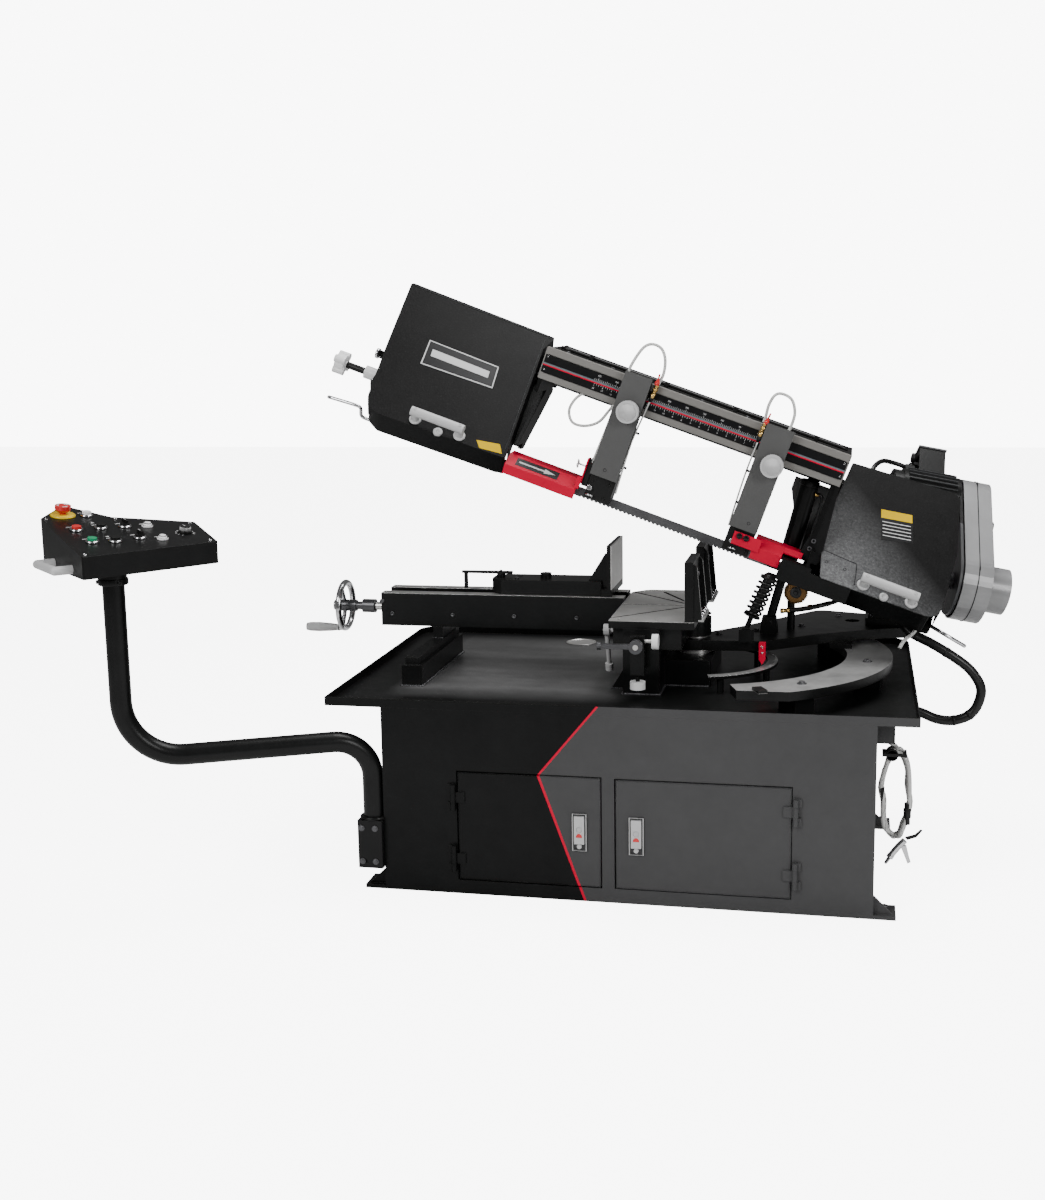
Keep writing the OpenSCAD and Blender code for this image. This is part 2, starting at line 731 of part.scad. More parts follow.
// Openings for the two runs of the blade
module blade_way(x0, x1) {
  translate([x0, -212, -30]) cube([x1 - x0, 42, 75]);
  translate([x0, 126, -26]) cube([x1 - x0, 30, 52]);
}
module left_wheel_cover() color(black) in_wheel() difference() {
  casing(left_outline, [45, 6, 4, 6, 8, 4, 60]);
  blade_way(-1160, -1090);
}
module right_wheel_cover() color(black) in_wheel() difference() {
  casing(right_outline, [6, 40, 6, 30, 6, 4, 4, 4]);
  blade_way(-240, -180);
}

left_throat_x = -1090;
right_throat_x = -236;
throat_t = 10;
brush_x = -233;
brush_z = -66;
brush_pin_r = 6;
screw_axis_z = -45;
tension_r = 10;
// Place of the feed cylinder's upper end in the head frame
high_rel = cylinder_high - [head_x, head_z];
high_x = high_rel.x * cos(rest_tilt) - high_rel.y * sin(rest_tilt);
high_z = high_rel.x * sin(rest_tilt) + high_rel.y * cos(rest_tilt);

module box_beam() {
  x0 = left_throat_x;
  x1 = right_throat_x + throat_t;
  difference() {
    in_head() box(x0, x1, -10, 262, 245, 325);
    in_head() box(x0 - 1, x1 + 1, -10 + beam_t, 262 - beam_t, 245 + beam_t, 325 - beam_t);
  }
}
module wheel_back_plates() difference() {
  in_wheel() {
    translate([0, 0, -25]) linear_extrude(10) polygon(fillet(inset(left_outline, 5), 20));
    translate([0, 0, -25]) linear_extrude(10) polygon(fillet(inset(right_outline, 5), 10));
    translate([-1150, -210, -24.8]) cube([64, 440, 9.6]);
    translate([-234, -205, -24.8]) cube([60, 385, 9.6]);
  }
  in_wheel() translate([drive_x, wheel_y, -30]) cylinder(h = 30, r = axle_r + fit);
  // room for the wire brush and, at the lowest position, for the vise slide
  in_head() rod_y(brush_x, -40, 3, brush_z, 40);
  in_head() box(-1115, -1080, -70, 66, -80, 30);
}
// Idler slide block, axle and the bracket of the tension screw
module idler_mount() {
  in_wheel() difference() {
    translate([-1556, wheel_y - 50, -80]) cube([12, 100, 62]);
    translate([-1560, wheel_y, screw_axis_z]) rotate([0, 90, 0])
      cylinder(h = 20, r = tension_r + fit);
  }
  in_wheel() {
    translate([idler_x - 60, wheel_y - 45, -60]) cube([120, 90, 38]);
    translate([idler_x, wheel_y, -40]) cylinder(h = 62, r = axle_r);
  }
}
// Walls at both ends of the beam, cleared for the blade
module throat_walls() difference() {
  for (x = [left_throat_x, right_throat_x]) {
    intersection() {
      in_head() box(x, x + throat_t, -200, 400, -100, 400);
      in_wheel() translate([-2000, -214, -25]) cube([2000, 450, 84]);
    }
    in_head() box(x, x + throat_t, -10, 262, 200, 325);
    in_head() wall_x([[150, 110], [262, 230], [262, 250], [120, 250]], x, x + throat_t);
  }
  in_wheel() blade_way(-1095, -220);
  in_head() {
    box(-1095, -220, 209, 228, 200, 236);
    box(-1095, -1075, -90, 30, -60, 48);
    box(-1095, -1075, -90, 66, -80, 30);
    box(-240, -220, -90, 30, -60, 48);
  }
}
// Barrel and its web under the drive end
module pivot_barrel() difference() {
  union() {
    in_head() rod_y(0, 214, 291, 0, 35);
    intersection() {
      in_head() box(-38, 38, 216, 234, -4, 260);
      in_wheel() translate([-300, -300, -160]) cube([600, 700, 136]);
    }
  }
  in_head() rod_y(0, 200, 300, 0, head_pin_r + fit);
}
// Bracket of the feed cylinder, hung from the beam
module trunnion_bracket() difference() {
  union() {
    rod_y(cylinder_high.x, 88.5, 100.5, cylinder_high.y, 20);
    in_head() box(high_x - 17, high_x + 17, 88.5, 100.5, high_z + 4, 250);
  }
  rod_y(cylinder_high.x, 80, 110, cylinder_high.y, trunnion_r + fit);
}
module bow_frame() color(black) {
  box_beam();
  wheel_back_plates();
  idler_mount();
  throat_walls();
  pivot_barrel();
  trunnion_bracket();
  in_head() {
    // arm and pin of the wire brush
    box(-243, -223, 21, 27, -76, 60);
    rod_y(brush_x, -32, 22, brush_z, brush_pin_r);
    // tie bar down the throat end
    box(-250, -236, -24, 2, 50, 240);
    box(-250, -236, -9, 2, 239, 250);
    // front wall of the throat end with its riser, tie and spring lug
    box(-300, -226, -72, -64.5, -40, 16);
    box(-236, -226, -72, -64.5, -41, 60);
    box(-235, -227, -72.5, -20, 48, 61);
    box(-322, -299, -72.5, -40, -44, -36);
  }
}

module ruler_rail() color([0.45, 0.44, 0.42]) in_head() difference() {
  box(-1089, -228, -38, -10, 241, 328);
  // two T-slots for the guide arm clamps
  for (z = [262, 306]) {
    box(-1080, -236, -39, -28, z - 4, z + 4);
    box(-1080, -236, -32, -24, z - 8, z + 8);
  }
}

// Bar on two posts, the first post at x
module cover_handle(x, y) in_wheel() {
  for (post_x = [x, x + 132]) translate([post_x, y, 60]) cylinder(h = 34, r = 12);
  translate([x - 12, y, 94]) rotate([0, 90, 0]) cylinder(h = 156, r = 13);
}
module left_cover_handle() color(pale) cover_handle(-1370, -200);
module right_cover_handle() color(pale) cover_handle(-78, -196);

hub_r = 30;
// Wheel with recessed faces and five holes, bored for its hub
module band_wheel() difference() {
  translate([0, 0, -13]) cylinder(h = 26, r = band_r, $fn = 96);
  for (z = [-14, 5]) translate([0, 0, z]) cylinder(h = 9, r = band_r - 22, $fn = 96);
  for (i = [0:4])
    rotate([0, 0, i * 72 + 18]) translate([92, 0, -14]) cylinder(h = 28, r = 34);
  translate([0, 0, -20]) cylinder(h = 40, r = hub_r);
}
module idler_wheel() color(grey) in_wheel() translate([idler_x, wheel_y, 0]) {
  band_wheel();
  difference() {
    translate([0, 0, -13]) cylinder(h = 30, r = hub_r);
    translate([0, 0, -14]) cylinder(h = 40, r = axle_r + fit);
  }
}
module drive_wheel() color(grey) in_wheel() translate([drive_x, wheel_y, 0]) {
  band_wheel();
  translate([0, 0, -13]) cylinder(h = 32, r = hub_r);
  translate([0, 0, -62]) cylinder(h = 49, r = axle_r);
}

// Upright cutting length of the blade, in the head frame
cut_x0 = -880;
cut_x1 = -388;
blade_y = -15;
blade_z = -15.95;
// The joining lengths are a little thinner and run 1 mm into their neighbours
join_w = blade_w - 0.4;
join_t = blade_t - 0.2;
module cutting_length() {
  low_edge = blade_z - blade_w / 2;
  in_head() difference() {
    box(cut_x0, cut_x1, blade_y - blade_t / 2, blade_y + blade_t / 2,
      low_edge, blade_z + blade_w / 2);
    for (k = [0:floor((cut_x1 - cut_x0) / pitch) - 2])
      translate([cut_x0 + 6 + k * pitch, -20, low_edge]) rotate([-90, 0, 0])
        linear_extrude(10) polygon([[2, 1], [2, -1.2], [4, -3.6], [pitch * 0.9, 1]]);
  }
}
module twisted_length(x0, x1, start, twist)
  in_head() translate([x0, blade_y, blade_z]) rotate([0, 90, 0]) rotate([0, 0, start])
    linear_extrude(x1 - x0, twist = twist, slices = 8) square([join_w, join_t], center = true);
module saw_blade() color(steel) {
  cutting_length();
  twisted_length(idler_x - 1, cut_x0 + 1, 45, 45);
  twisted_length(cut_x1 - 1, drive_x + 1, 0, -45);
  in_wheel() {
    // half turns round the wheels: wheel centre, start angle
    for (bend = [[idler_x, 90], [drive_x, -90]])
      translate([bend[0], wheel_y, -blade_w / 2]) rotate([0, 0, bend[1]])
        rotate_extrude(angle = 180, $fn = 96)
          translate([band_r + 0.03, 0]) square([blade_t, blade_w]);
    // return length
    translate([idler_x - 1, wheel_y + band_r + 0.13, -join_w / 2])
      cube([drive_x - idler_x + 2, join_t, join_w]);
  }
}

module guide_arm(x0, x1, top) {
  difference() {
    box(x0, x1, -66, -42, 49, top);
    box(x0 + 10, x1 - 10, -54, -41, 60, 225);
  }
  // clamp shoe against the front of the rail, and the block foot
  box(x0, x1, -42, -38.2, 244, top - 10);
  box(x0 + 4, x1 - 4, -42, 22, 49, 62);
  // guide block slotted for the blade, with two rollers
  difference() {
    box(x0 + 2, x1 - 2, -50, 22, -18, 49);
    box(x0, x1, -17, -13, -19, 2);
    box(x0 + 20, x1 - 20, -12, 23, -19, 30);
  }
  for (x = [x0 + 28, x1 - 28]) translate([x, -2.4, -19]) cylinder(h = 38, r = 11.9);
}
module guide_arm_left() color(grey) in_head() guide_arm(-863, -787, 341);
module guide_arm_right() color(grey) in_head() guide_arm(-463, -387, 337);

module guide_knob(x, z) in_head() {
  rod_y(x, -78, -66, z, 12);
  rod_y(x, -100, -78, z, 30);
  rod_y(x, -104, -100, z, 22);
}
module guide_knob_left() color(pale) guide_knob(-819, 241);
module guide_knob_right() color(pale) guide_knob(-412, 237);

// Folded sheets along the blade: sections in y and z
module blade_guard_left() color(red) in_head() {
  wall_x([[-56, -36], [-52, -36], [-57.5, -9.5], [-27, 15], [18, 19], [18, 23], [-28.5, 20],
    [-62, -8]], -1094, -886);
  wall_x([[-61, -4], [-50.5, -4], [-50.5, 22], [-61, 30]], -892, -880);
}
module blade_guard_right() color(red) in_head() {
  wall_x([[-60, -16], [-56, -16], [-58, 14], [-27.5, 36], [18, 38], [18, 42], [-29, 40.5],
    [-62, 17]], -384, -303);
  wall_x([[-46, 27.5], [-44, 24.5], [-27.5, 36.2], [17, 38.2], [17, 41.6], [-29, 40.2]],
    -304, -252);
  wall_x([[-66, 5], [-61.8, 5], [-61.8, 40], [-66, 40]], -443, -366);
}

// Drive frame: X along the gearbox input shaft, Y towards the motor, Z along the wheel axis
module in_gear()
  in_wheel() translate([drive_x, wheel_y, -75]) rotate([0, 0, 12]) children();
belt_x = 208;
motor_y = 282;
// Plate from x, with ends of radius gear_r and motor_r round the two shafts
module belt_plate(x, h, gear_r, motor_r) {
  tangent = acos((gear_r - motor_r) / motor_y);
  translate([x, 0, 0]) rotate([90, 0, 90]) linear_extrude(h) polygon(concat(
    [for (i = [0:24]) let(a = tangent + (360 - 2 * tangent) * i / 24)
      gear_r * [cos(a), sin(a)]],
    [for (i = [0:16]) let(a = -tangent + 2 * tangent * i / 16)
      [motor_y, 0] + motor_r * [cos(a), sin(a)]]));
}
module gear_motor() color(black) in_gear() difference() {
  union() {
    // gearbox, its flange and input shaft housing
    box(-50, 60, -50, 50, -20, 49.7);
    box(58, 70, -42, 42, -16, 42);
    rod_x(66, 201, 0, 8, 23);
    // carrier plate shared by the gearbox and the motor
    belt_plate(198, 8, 92, 58);
    // motor with its end cap and two side boxes
    rod_x(40, 202, motor_y, 0, 66);
    rod_x(14, 44, motor_y, 0, 60);
    box(85, 160, motor_y + 40, motor_y + 143, -38, 38);
    box(52, 78, motor_y + 40, motor_y + 86, -18, 18);
  }
  translate([0, 0, 10]) cylinder(h = 60, r = axle_r + fit);
}
module belt_cover() color([0.45, 0.45, 0.46]) in_gear() difference() {
  union() {
    belt_plate(belt_x, 79, 100, 65);
    rod_x(belt_x + 78, belt_x + 140, 0, 0, 64);
  }
  belt_plate(belt_x - 1, 77, 97, 62);
  rod_x(belt_x + 60, belt_x + 136, 0, 0, 58);
}

module tension_handle() color(pale) in_wheel() translate([-1680, wheel_y, screw_axis_z]) {
  color(black) rod_x(-10, 298, 0, 0, tension_r);
  rod_x(77, 117, 0, 0, 19);
  rod_x(-14, 14, 0, 0, 26);
  // four grip lobes
  for (i = [0:3])
    rotate([i * 90 + 20, 0, 0]) translate([-16, 0, 24]) rotate([0, 90, 0])
      cylinder(h = 33, r = 11);
}

module wire_brush() color([0.45, 0.3, 0.12]) in_head() difference() {
  rod_y(brush_x, -27, -3, brush_z, 34);
  rod_y(brush_x, -28, -2, brush_z, brush_pin_r + fit);
}

base_cabinet();
chip_tray();
coolant_unit();
pendant_socket();
infeed_support();
vise_bed();
table_column();
saw_table();
fixed_jaws();
swivel_ring();
scale_arc();
stop_rod();
stop_arm();
table_clamp_lever();
left_door();
right_door();
left_latch();
right_latch();
pendant_arm();
control_box();
panel_handle();
estop_button();
white_button();
red_button();
green_button();
up_button();
down_button();
selector_left();
selector_right();
speed_knob();
moving_jaw();
vise_lock_lever();
vise_handwheel();
handwheel_grip();
swivel_arm();
pivot_shaft();
angle_pointer();
head_pivot_shaft();
feed_cylinder();
cylinder_rod();
balance_spring();
bow_frame();
ruler_rail();
left_wheel_cover();
right_wheel_cover();
left_cover_handle();
right_cover_handle();
idler_wheel();
drive_wheel();
saw_blade();
guide_arm_left();
guide_arm_right();
guide_knob_left();
guide_knob_right();
blade_guard_left();
blade_guard_right();
gear_motor();
belt_cover();
tension_handle();
wire_brush();
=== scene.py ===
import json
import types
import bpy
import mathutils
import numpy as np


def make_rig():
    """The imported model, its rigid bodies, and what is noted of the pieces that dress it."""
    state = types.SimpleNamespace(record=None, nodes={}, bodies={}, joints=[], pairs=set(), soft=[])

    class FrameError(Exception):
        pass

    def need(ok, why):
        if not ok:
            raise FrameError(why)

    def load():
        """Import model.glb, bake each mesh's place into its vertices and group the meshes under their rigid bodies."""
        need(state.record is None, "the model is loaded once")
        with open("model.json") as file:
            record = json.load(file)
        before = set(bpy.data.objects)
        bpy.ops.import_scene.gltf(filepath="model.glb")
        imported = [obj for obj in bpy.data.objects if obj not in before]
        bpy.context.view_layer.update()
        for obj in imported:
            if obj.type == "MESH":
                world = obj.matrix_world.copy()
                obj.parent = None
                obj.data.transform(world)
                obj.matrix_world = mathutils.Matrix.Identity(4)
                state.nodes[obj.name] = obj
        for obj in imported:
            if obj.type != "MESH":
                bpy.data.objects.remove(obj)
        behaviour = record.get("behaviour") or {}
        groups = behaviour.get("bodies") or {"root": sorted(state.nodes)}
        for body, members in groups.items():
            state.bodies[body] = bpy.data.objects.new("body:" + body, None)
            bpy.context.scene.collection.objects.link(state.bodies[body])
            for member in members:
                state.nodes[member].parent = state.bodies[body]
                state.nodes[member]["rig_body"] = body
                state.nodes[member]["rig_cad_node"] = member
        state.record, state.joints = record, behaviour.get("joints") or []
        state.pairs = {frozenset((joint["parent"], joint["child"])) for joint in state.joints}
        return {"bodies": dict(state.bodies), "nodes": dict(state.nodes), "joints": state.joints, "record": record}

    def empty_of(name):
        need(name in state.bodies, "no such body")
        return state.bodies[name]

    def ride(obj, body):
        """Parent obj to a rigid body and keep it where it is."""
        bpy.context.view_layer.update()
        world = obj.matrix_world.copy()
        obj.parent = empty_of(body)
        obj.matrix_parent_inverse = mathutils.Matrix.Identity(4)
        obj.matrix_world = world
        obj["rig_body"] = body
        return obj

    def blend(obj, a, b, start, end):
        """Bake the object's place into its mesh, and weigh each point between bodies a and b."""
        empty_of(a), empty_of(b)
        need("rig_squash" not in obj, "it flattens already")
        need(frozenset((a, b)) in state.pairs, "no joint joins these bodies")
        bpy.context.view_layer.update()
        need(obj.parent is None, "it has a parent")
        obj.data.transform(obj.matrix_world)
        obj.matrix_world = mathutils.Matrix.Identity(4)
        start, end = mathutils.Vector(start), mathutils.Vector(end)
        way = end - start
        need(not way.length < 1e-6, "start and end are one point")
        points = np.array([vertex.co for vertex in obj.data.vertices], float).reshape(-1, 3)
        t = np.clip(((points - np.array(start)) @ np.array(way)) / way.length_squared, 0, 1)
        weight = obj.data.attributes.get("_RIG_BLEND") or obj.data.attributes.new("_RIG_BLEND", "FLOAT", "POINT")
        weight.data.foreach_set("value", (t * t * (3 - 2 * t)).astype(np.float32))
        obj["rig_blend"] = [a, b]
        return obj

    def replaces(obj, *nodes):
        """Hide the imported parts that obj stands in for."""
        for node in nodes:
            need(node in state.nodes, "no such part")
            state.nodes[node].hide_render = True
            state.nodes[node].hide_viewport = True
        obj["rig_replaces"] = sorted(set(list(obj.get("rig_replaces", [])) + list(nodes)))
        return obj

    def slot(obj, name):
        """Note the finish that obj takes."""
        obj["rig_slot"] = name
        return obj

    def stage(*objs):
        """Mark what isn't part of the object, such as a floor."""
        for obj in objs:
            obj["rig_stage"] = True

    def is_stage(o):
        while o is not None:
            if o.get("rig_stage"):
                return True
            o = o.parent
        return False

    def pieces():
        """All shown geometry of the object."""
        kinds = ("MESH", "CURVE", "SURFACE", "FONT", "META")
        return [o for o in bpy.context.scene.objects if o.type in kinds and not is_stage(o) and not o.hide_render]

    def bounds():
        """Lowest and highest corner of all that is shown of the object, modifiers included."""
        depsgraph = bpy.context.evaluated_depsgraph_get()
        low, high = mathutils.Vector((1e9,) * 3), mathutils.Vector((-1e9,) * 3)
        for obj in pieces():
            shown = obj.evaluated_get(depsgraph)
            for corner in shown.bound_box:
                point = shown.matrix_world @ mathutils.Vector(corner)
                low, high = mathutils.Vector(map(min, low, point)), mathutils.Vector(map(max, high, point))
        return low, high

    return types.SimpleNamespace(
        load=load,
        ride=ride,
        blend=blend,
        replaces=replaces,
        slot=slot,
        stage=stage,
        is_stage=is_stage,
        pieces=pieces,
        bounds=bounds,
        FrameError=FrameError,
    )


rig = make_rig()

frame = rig.load()

import json
import math
import random

import bmesh
import bpy
from mathutils import Matrix, Vector

cad_low, cad_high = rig.bounds()
dice = random.Random(7)

# ---------- frames: millimetres in, metres out ----------
TILT_COS, TILT_SIN = math.cos(math.radians(20)), math.sin(math.radians(20))
HALF_ROOT = math.sqrt(0.5)
PIVOT_X, PIVOT_Z = 651, 716  # the axis that the bow tilts about
COVER_Y, COVER_W = 119.35, 118.4  # origin of the cover frame in the bow frame
COVER_FACE = 60  # q of the covers' outer face
GEAR_TURN = math.radians(12)
DRIVE_P = -24.42  # p of the gear axis and of the tension handle
PANEL_TURN, PANEL_SLOPE = math.radians(53.9), math.radians(11.2)


def world(x, y, z):
    return Vector((x, y, z)) / 1000


def bow(u, y, w):
    """u runs down the bow to the right, w up across it."""
    return world(PIVOT_X + u * TILT_COS + w * TILT_SIN, y,
                 PIVOT_Z - u * TILT_SIN + w * TILT_COS)


def cover(u, p, q):
    """The bow frame rolled 45 degrees: p goes up and back, q up and to the front."""
    return bow(u, COVER_Y + (p - q) * HALF_ROOT, COVER_W + (p + q) * HALF_ROOT)


def gear(a, b, c):
    """The cover frame turned about q: a follows the gear axis, b points to the motor."""
    return cover(-38 + a * math.cos(GEAR_TURN) - b * math.sin(GEAR_TURN),
                 DRIVE_P + a * math.sin(GEAR_TURN) + b * math.cos(GEAR_TURN), -75 + c)


def gear_round(a, b, radius, angle):
    """A point on a circle about an axis along a, at height b."""
    return gear(a, b + radius * math.cos(angle), radius * math.sin(angle))


def panel(a, b, height=0.0):
    """Control panel: a across, b up the sloping face, height out of it."""
    length = b / math.cos(PANEL_SLOPE)
    back = length * math.cos(PANEL_SLOPE) - height * math.sin(PANEL_SLOPE)
    rise = 54.5 + length * math.sin(PANEL_SLOPE) + height * math.cos(PANEL_SLOPE)
    return world(-1210.5 + a * math.cos(PANEL_TURN) - back * math.sin(PANEL_TURN),
                 -894.3 + a * math.sin(PANEL_TURN) + back * math.cos(PANEL_TURN), 880 + rise)


def facing(place, y):
    """Outline frame (across, up, depth) on the plane y of a frame."""
    return lambda across, up, depth: place(across, y + depth, up)


def along(place, *points):
    return [place(*point) for point in points]


def around(centre, side, other, radius, angle):
    """A point on a circle; the radius is in metres."""
    return centre + side * (radius * math.cos(angle)) + other * (radius * math.sin(angle))


RIGHT, BACK, UP = Vector((1, 0, 0)), Vector((0, 1, 0)), Vector((0, 0, 1))
FRONT = -BACK
BOW_U, BOW_W = Vector((TILT_COS, 0, -TILT_SIN)), Vector((TILT_SIN, 0, TILT_COS))
COVER_OUT = (BOW_W - BACK) * HALF_ROOT
GEAR_AXIS = gear(1, 0, 0) - gear(0, 0, 0)
GEAR_B = gear(0, 1, 0) - gear(0, 0, 0)
PANEL_OUT = (panel(0, 0, 1) - panel(0, 0, 0)).normalized()


# ---------- shader nodes ----------
class Graph:
    """Short ways to add nodes to one node tree."""

    def __init__(self, tree):
        self.tree = tree

    def add(self, kind, inputs={}, **settings):
        """Inputs map a socket's name or index to a value, or to a socket that feeds it."""
        node = self.tree.nodes.new(kind)
        for key, value in settings.items():
            setattr(node, key, value)
        for key, value in inputs.items():
            if isinstance(value, bpy.types.NodeSocket):
                self.tree.links.new(value, node.inputs[key])
            else:
                node.inputs[key].default_value = value
        return node

    def math(self, operation, *values):
        return self.add("ShaderNodeMath", dict(enumerate(values)), operation=operation).outputs[0]

    def times(self, first, second):
        return self.math("MULTIPLY", first, second)

    def noise(self, coords, scale, detail=3, rough=0.55, stretch=None):
        if stretch:
            coords = self.add("ShaderNodeMapping",
                              {"Vector": coords, "Scale": stretch}).outputs[0]
        return self.add("ShaderNodeTexNoise", {
            "Vector": coords, "Scale": scale, "Detail": detail,
            "Roughness": rough}).outputs["Fac"]

    def remap(self, value, low, high, out_low=0, out_high=1):
        return self.add("ShaderNodeMapRange", {
            "Value": value, "From Min": low, "From Max": high,
            "To Min": out_low, "To Max": out_high}, clamp=True).outputs[0]

    def blend(self, factor, first, second):
        """Colour mix; a colour is an RGB tuple or a socket."""
        first, second = ((*colour, 1) if isinstance(colour, tuple) else colour
                         for colour in (first, second))
        return self.add("ShaderNodeMix", {0: factor, 6: first, 7: second},
                        data_type="RGBA", clamp_factor=True).outputs[2]

    def coords(self):
        return self.add("ShaderNodeTexCoord").outputs["Object"]

    def axes(self):
        return self.add("ShaderNodeSeparateXYZ", {0: self.coords()}).outputs

    def bow_axes(self):
        x, y, z = self.axes()
        from_x = self.math("SUBTRACT", x, PIVOT_X / 1000)
        from_z = self.math("SUBTRACT", z, PIVOT_Z / 1000)
        u = self.math("SUBTRACT", self.times(from_x, TILT_COS), self.times(from_z, TILT_SIN))
        w = self.math("ADD", self.times(from_x, TILT_SIN), self.times(from_z, TILT_COS))
        return u, y, w

    def finish(self, name):
        return self.add("ShaderNodeGroup", node_tree=FINISH_GROUPS[name]).outputs[0]


# ---------- finishes ----------
def rgb(value):
    """A single number stands for a grey."""
    return value if isinstance(value, tuple) else (value,) * 3


FINISH_GROUPS = {}


def make_finish(name, colour, rough, rough_spread, tone_spread, grain, bump, wear, wear_and_highlight_colour, dust,
                specular, metal=0, coat=0, transmission=0, bump_depth=0.0002, edge=0.0012,
                speck=0, speck_colour=None, stretch=None):
    tree = bpy.data.node_groups.new(name, "ShaderNodeTree")
    tree.interface.new_socket(name="BSDF", in_out="OUTPUT", socket_type="NodeSocketShader")
    net = Graph(tree)
    coords = net.coords()
    # uneven tone at three scales
    broad = net.noise(coords, 2.3, detail=4, rough=0.6)
    mottle = net.noise(coords, 22, detail=4, rough=0.6)
    fine = net.noise(coords, grain, detail=2.5, rough=0.6, stretch=stretch)
    tone = net.math("ADD", net.times(broad, 0.6), net.times(mottle, 0.4))
    dark = tuple(max(0, c * (1 - tone_spread)) for c in rgb(colour))
    light = tuple(min(1, c * (1 + tone_spread) + 0.004) for c in rgb(colour))
    tint = net.blend(net.remap(tone, 0.3, 0.7), dark, light)
    if speck:
        spots = net.times(net.remap(fine, 0.52, 0.68),
                          net.remap(net.noise(coords, 60, detail=2), 0.35, 0.65, 0.35))
        tint = net.blend(net.times(spots, speck), tint, rgb(speck_colour))
    # lighter edges where the rounded normal leaves the flat one: partly worn paint, partly a painted highlight
    rounded = net.add("ShaderNodeBevel", {"Radius": edge}, samples=4).outputs[0]
    normal = net.add("ShaderNodeNewGeometry").outputs["Normal"]
    likeness = net.add("ShaderNodeVectorMath", {0: rounded, 1: normal}, operation="DOT_PRODUCT")
    worn_and_lit_edges = net.times(net.remap(likeness.outputs["Value"], 0.985, 0.80),
                      net.remap(net.noise(coords, 45), 0.35, 0.65, 0.15))
    tint = net.blend(net.times(worn_and_lit_edges, wear), tint, rgb(wear_and_highlight_colour))
    # faint settled dust on faces that look up
    facing_up = net.add("ShaderNodeSeparateXYZ", {0: normal}).outputs[2]
    settled = net.times(net.remap(facing_up, 0.5, 1),
                        net.remap(net.noise(coords, 9, detail=5, rough=0.7), 0.35, 0.75))
    tint = net.blend(net.times(settled, dust), tint, (0.55, 0.54, 0.52))
    mixed = net.math("ADD", net.times(mottle, 0.6), net.times(fine, 0.4))
    roughness = net.math("ADD", rough - rough_spread / 2, net.times(mixed, rough_spread))
    roughness = net.math("ADD", roughness, net.times(settled, 0.12))
    bumps = net.add("ShaderNodeBump", {
        "Strength": bump, "Distance": bump_depth, "Height": fine, "Normal": rounded})
    shader = net.add("ShaderNodeBsdfPrincipled", {
        "Base Color": tint, "Roughness": roughness, "Metallic": metal, "Coat Weight": coat,
        "Coat Roughness": 0.12, "Specular IOR Level": specular, "IOR": 1.45,
        "Transmission Weight": transmission, "Normal": bumps.outputs[0]})
    net.add("NodeGroupOutput", {0: shader.outputs[0]})
    FINISH_GROUPS[name] = tree


BRUSHED = dict(bump_depth=0.0001)  # shallow bump, used with a stretched grain
COARSE = dict(bump_depth=0.0007)
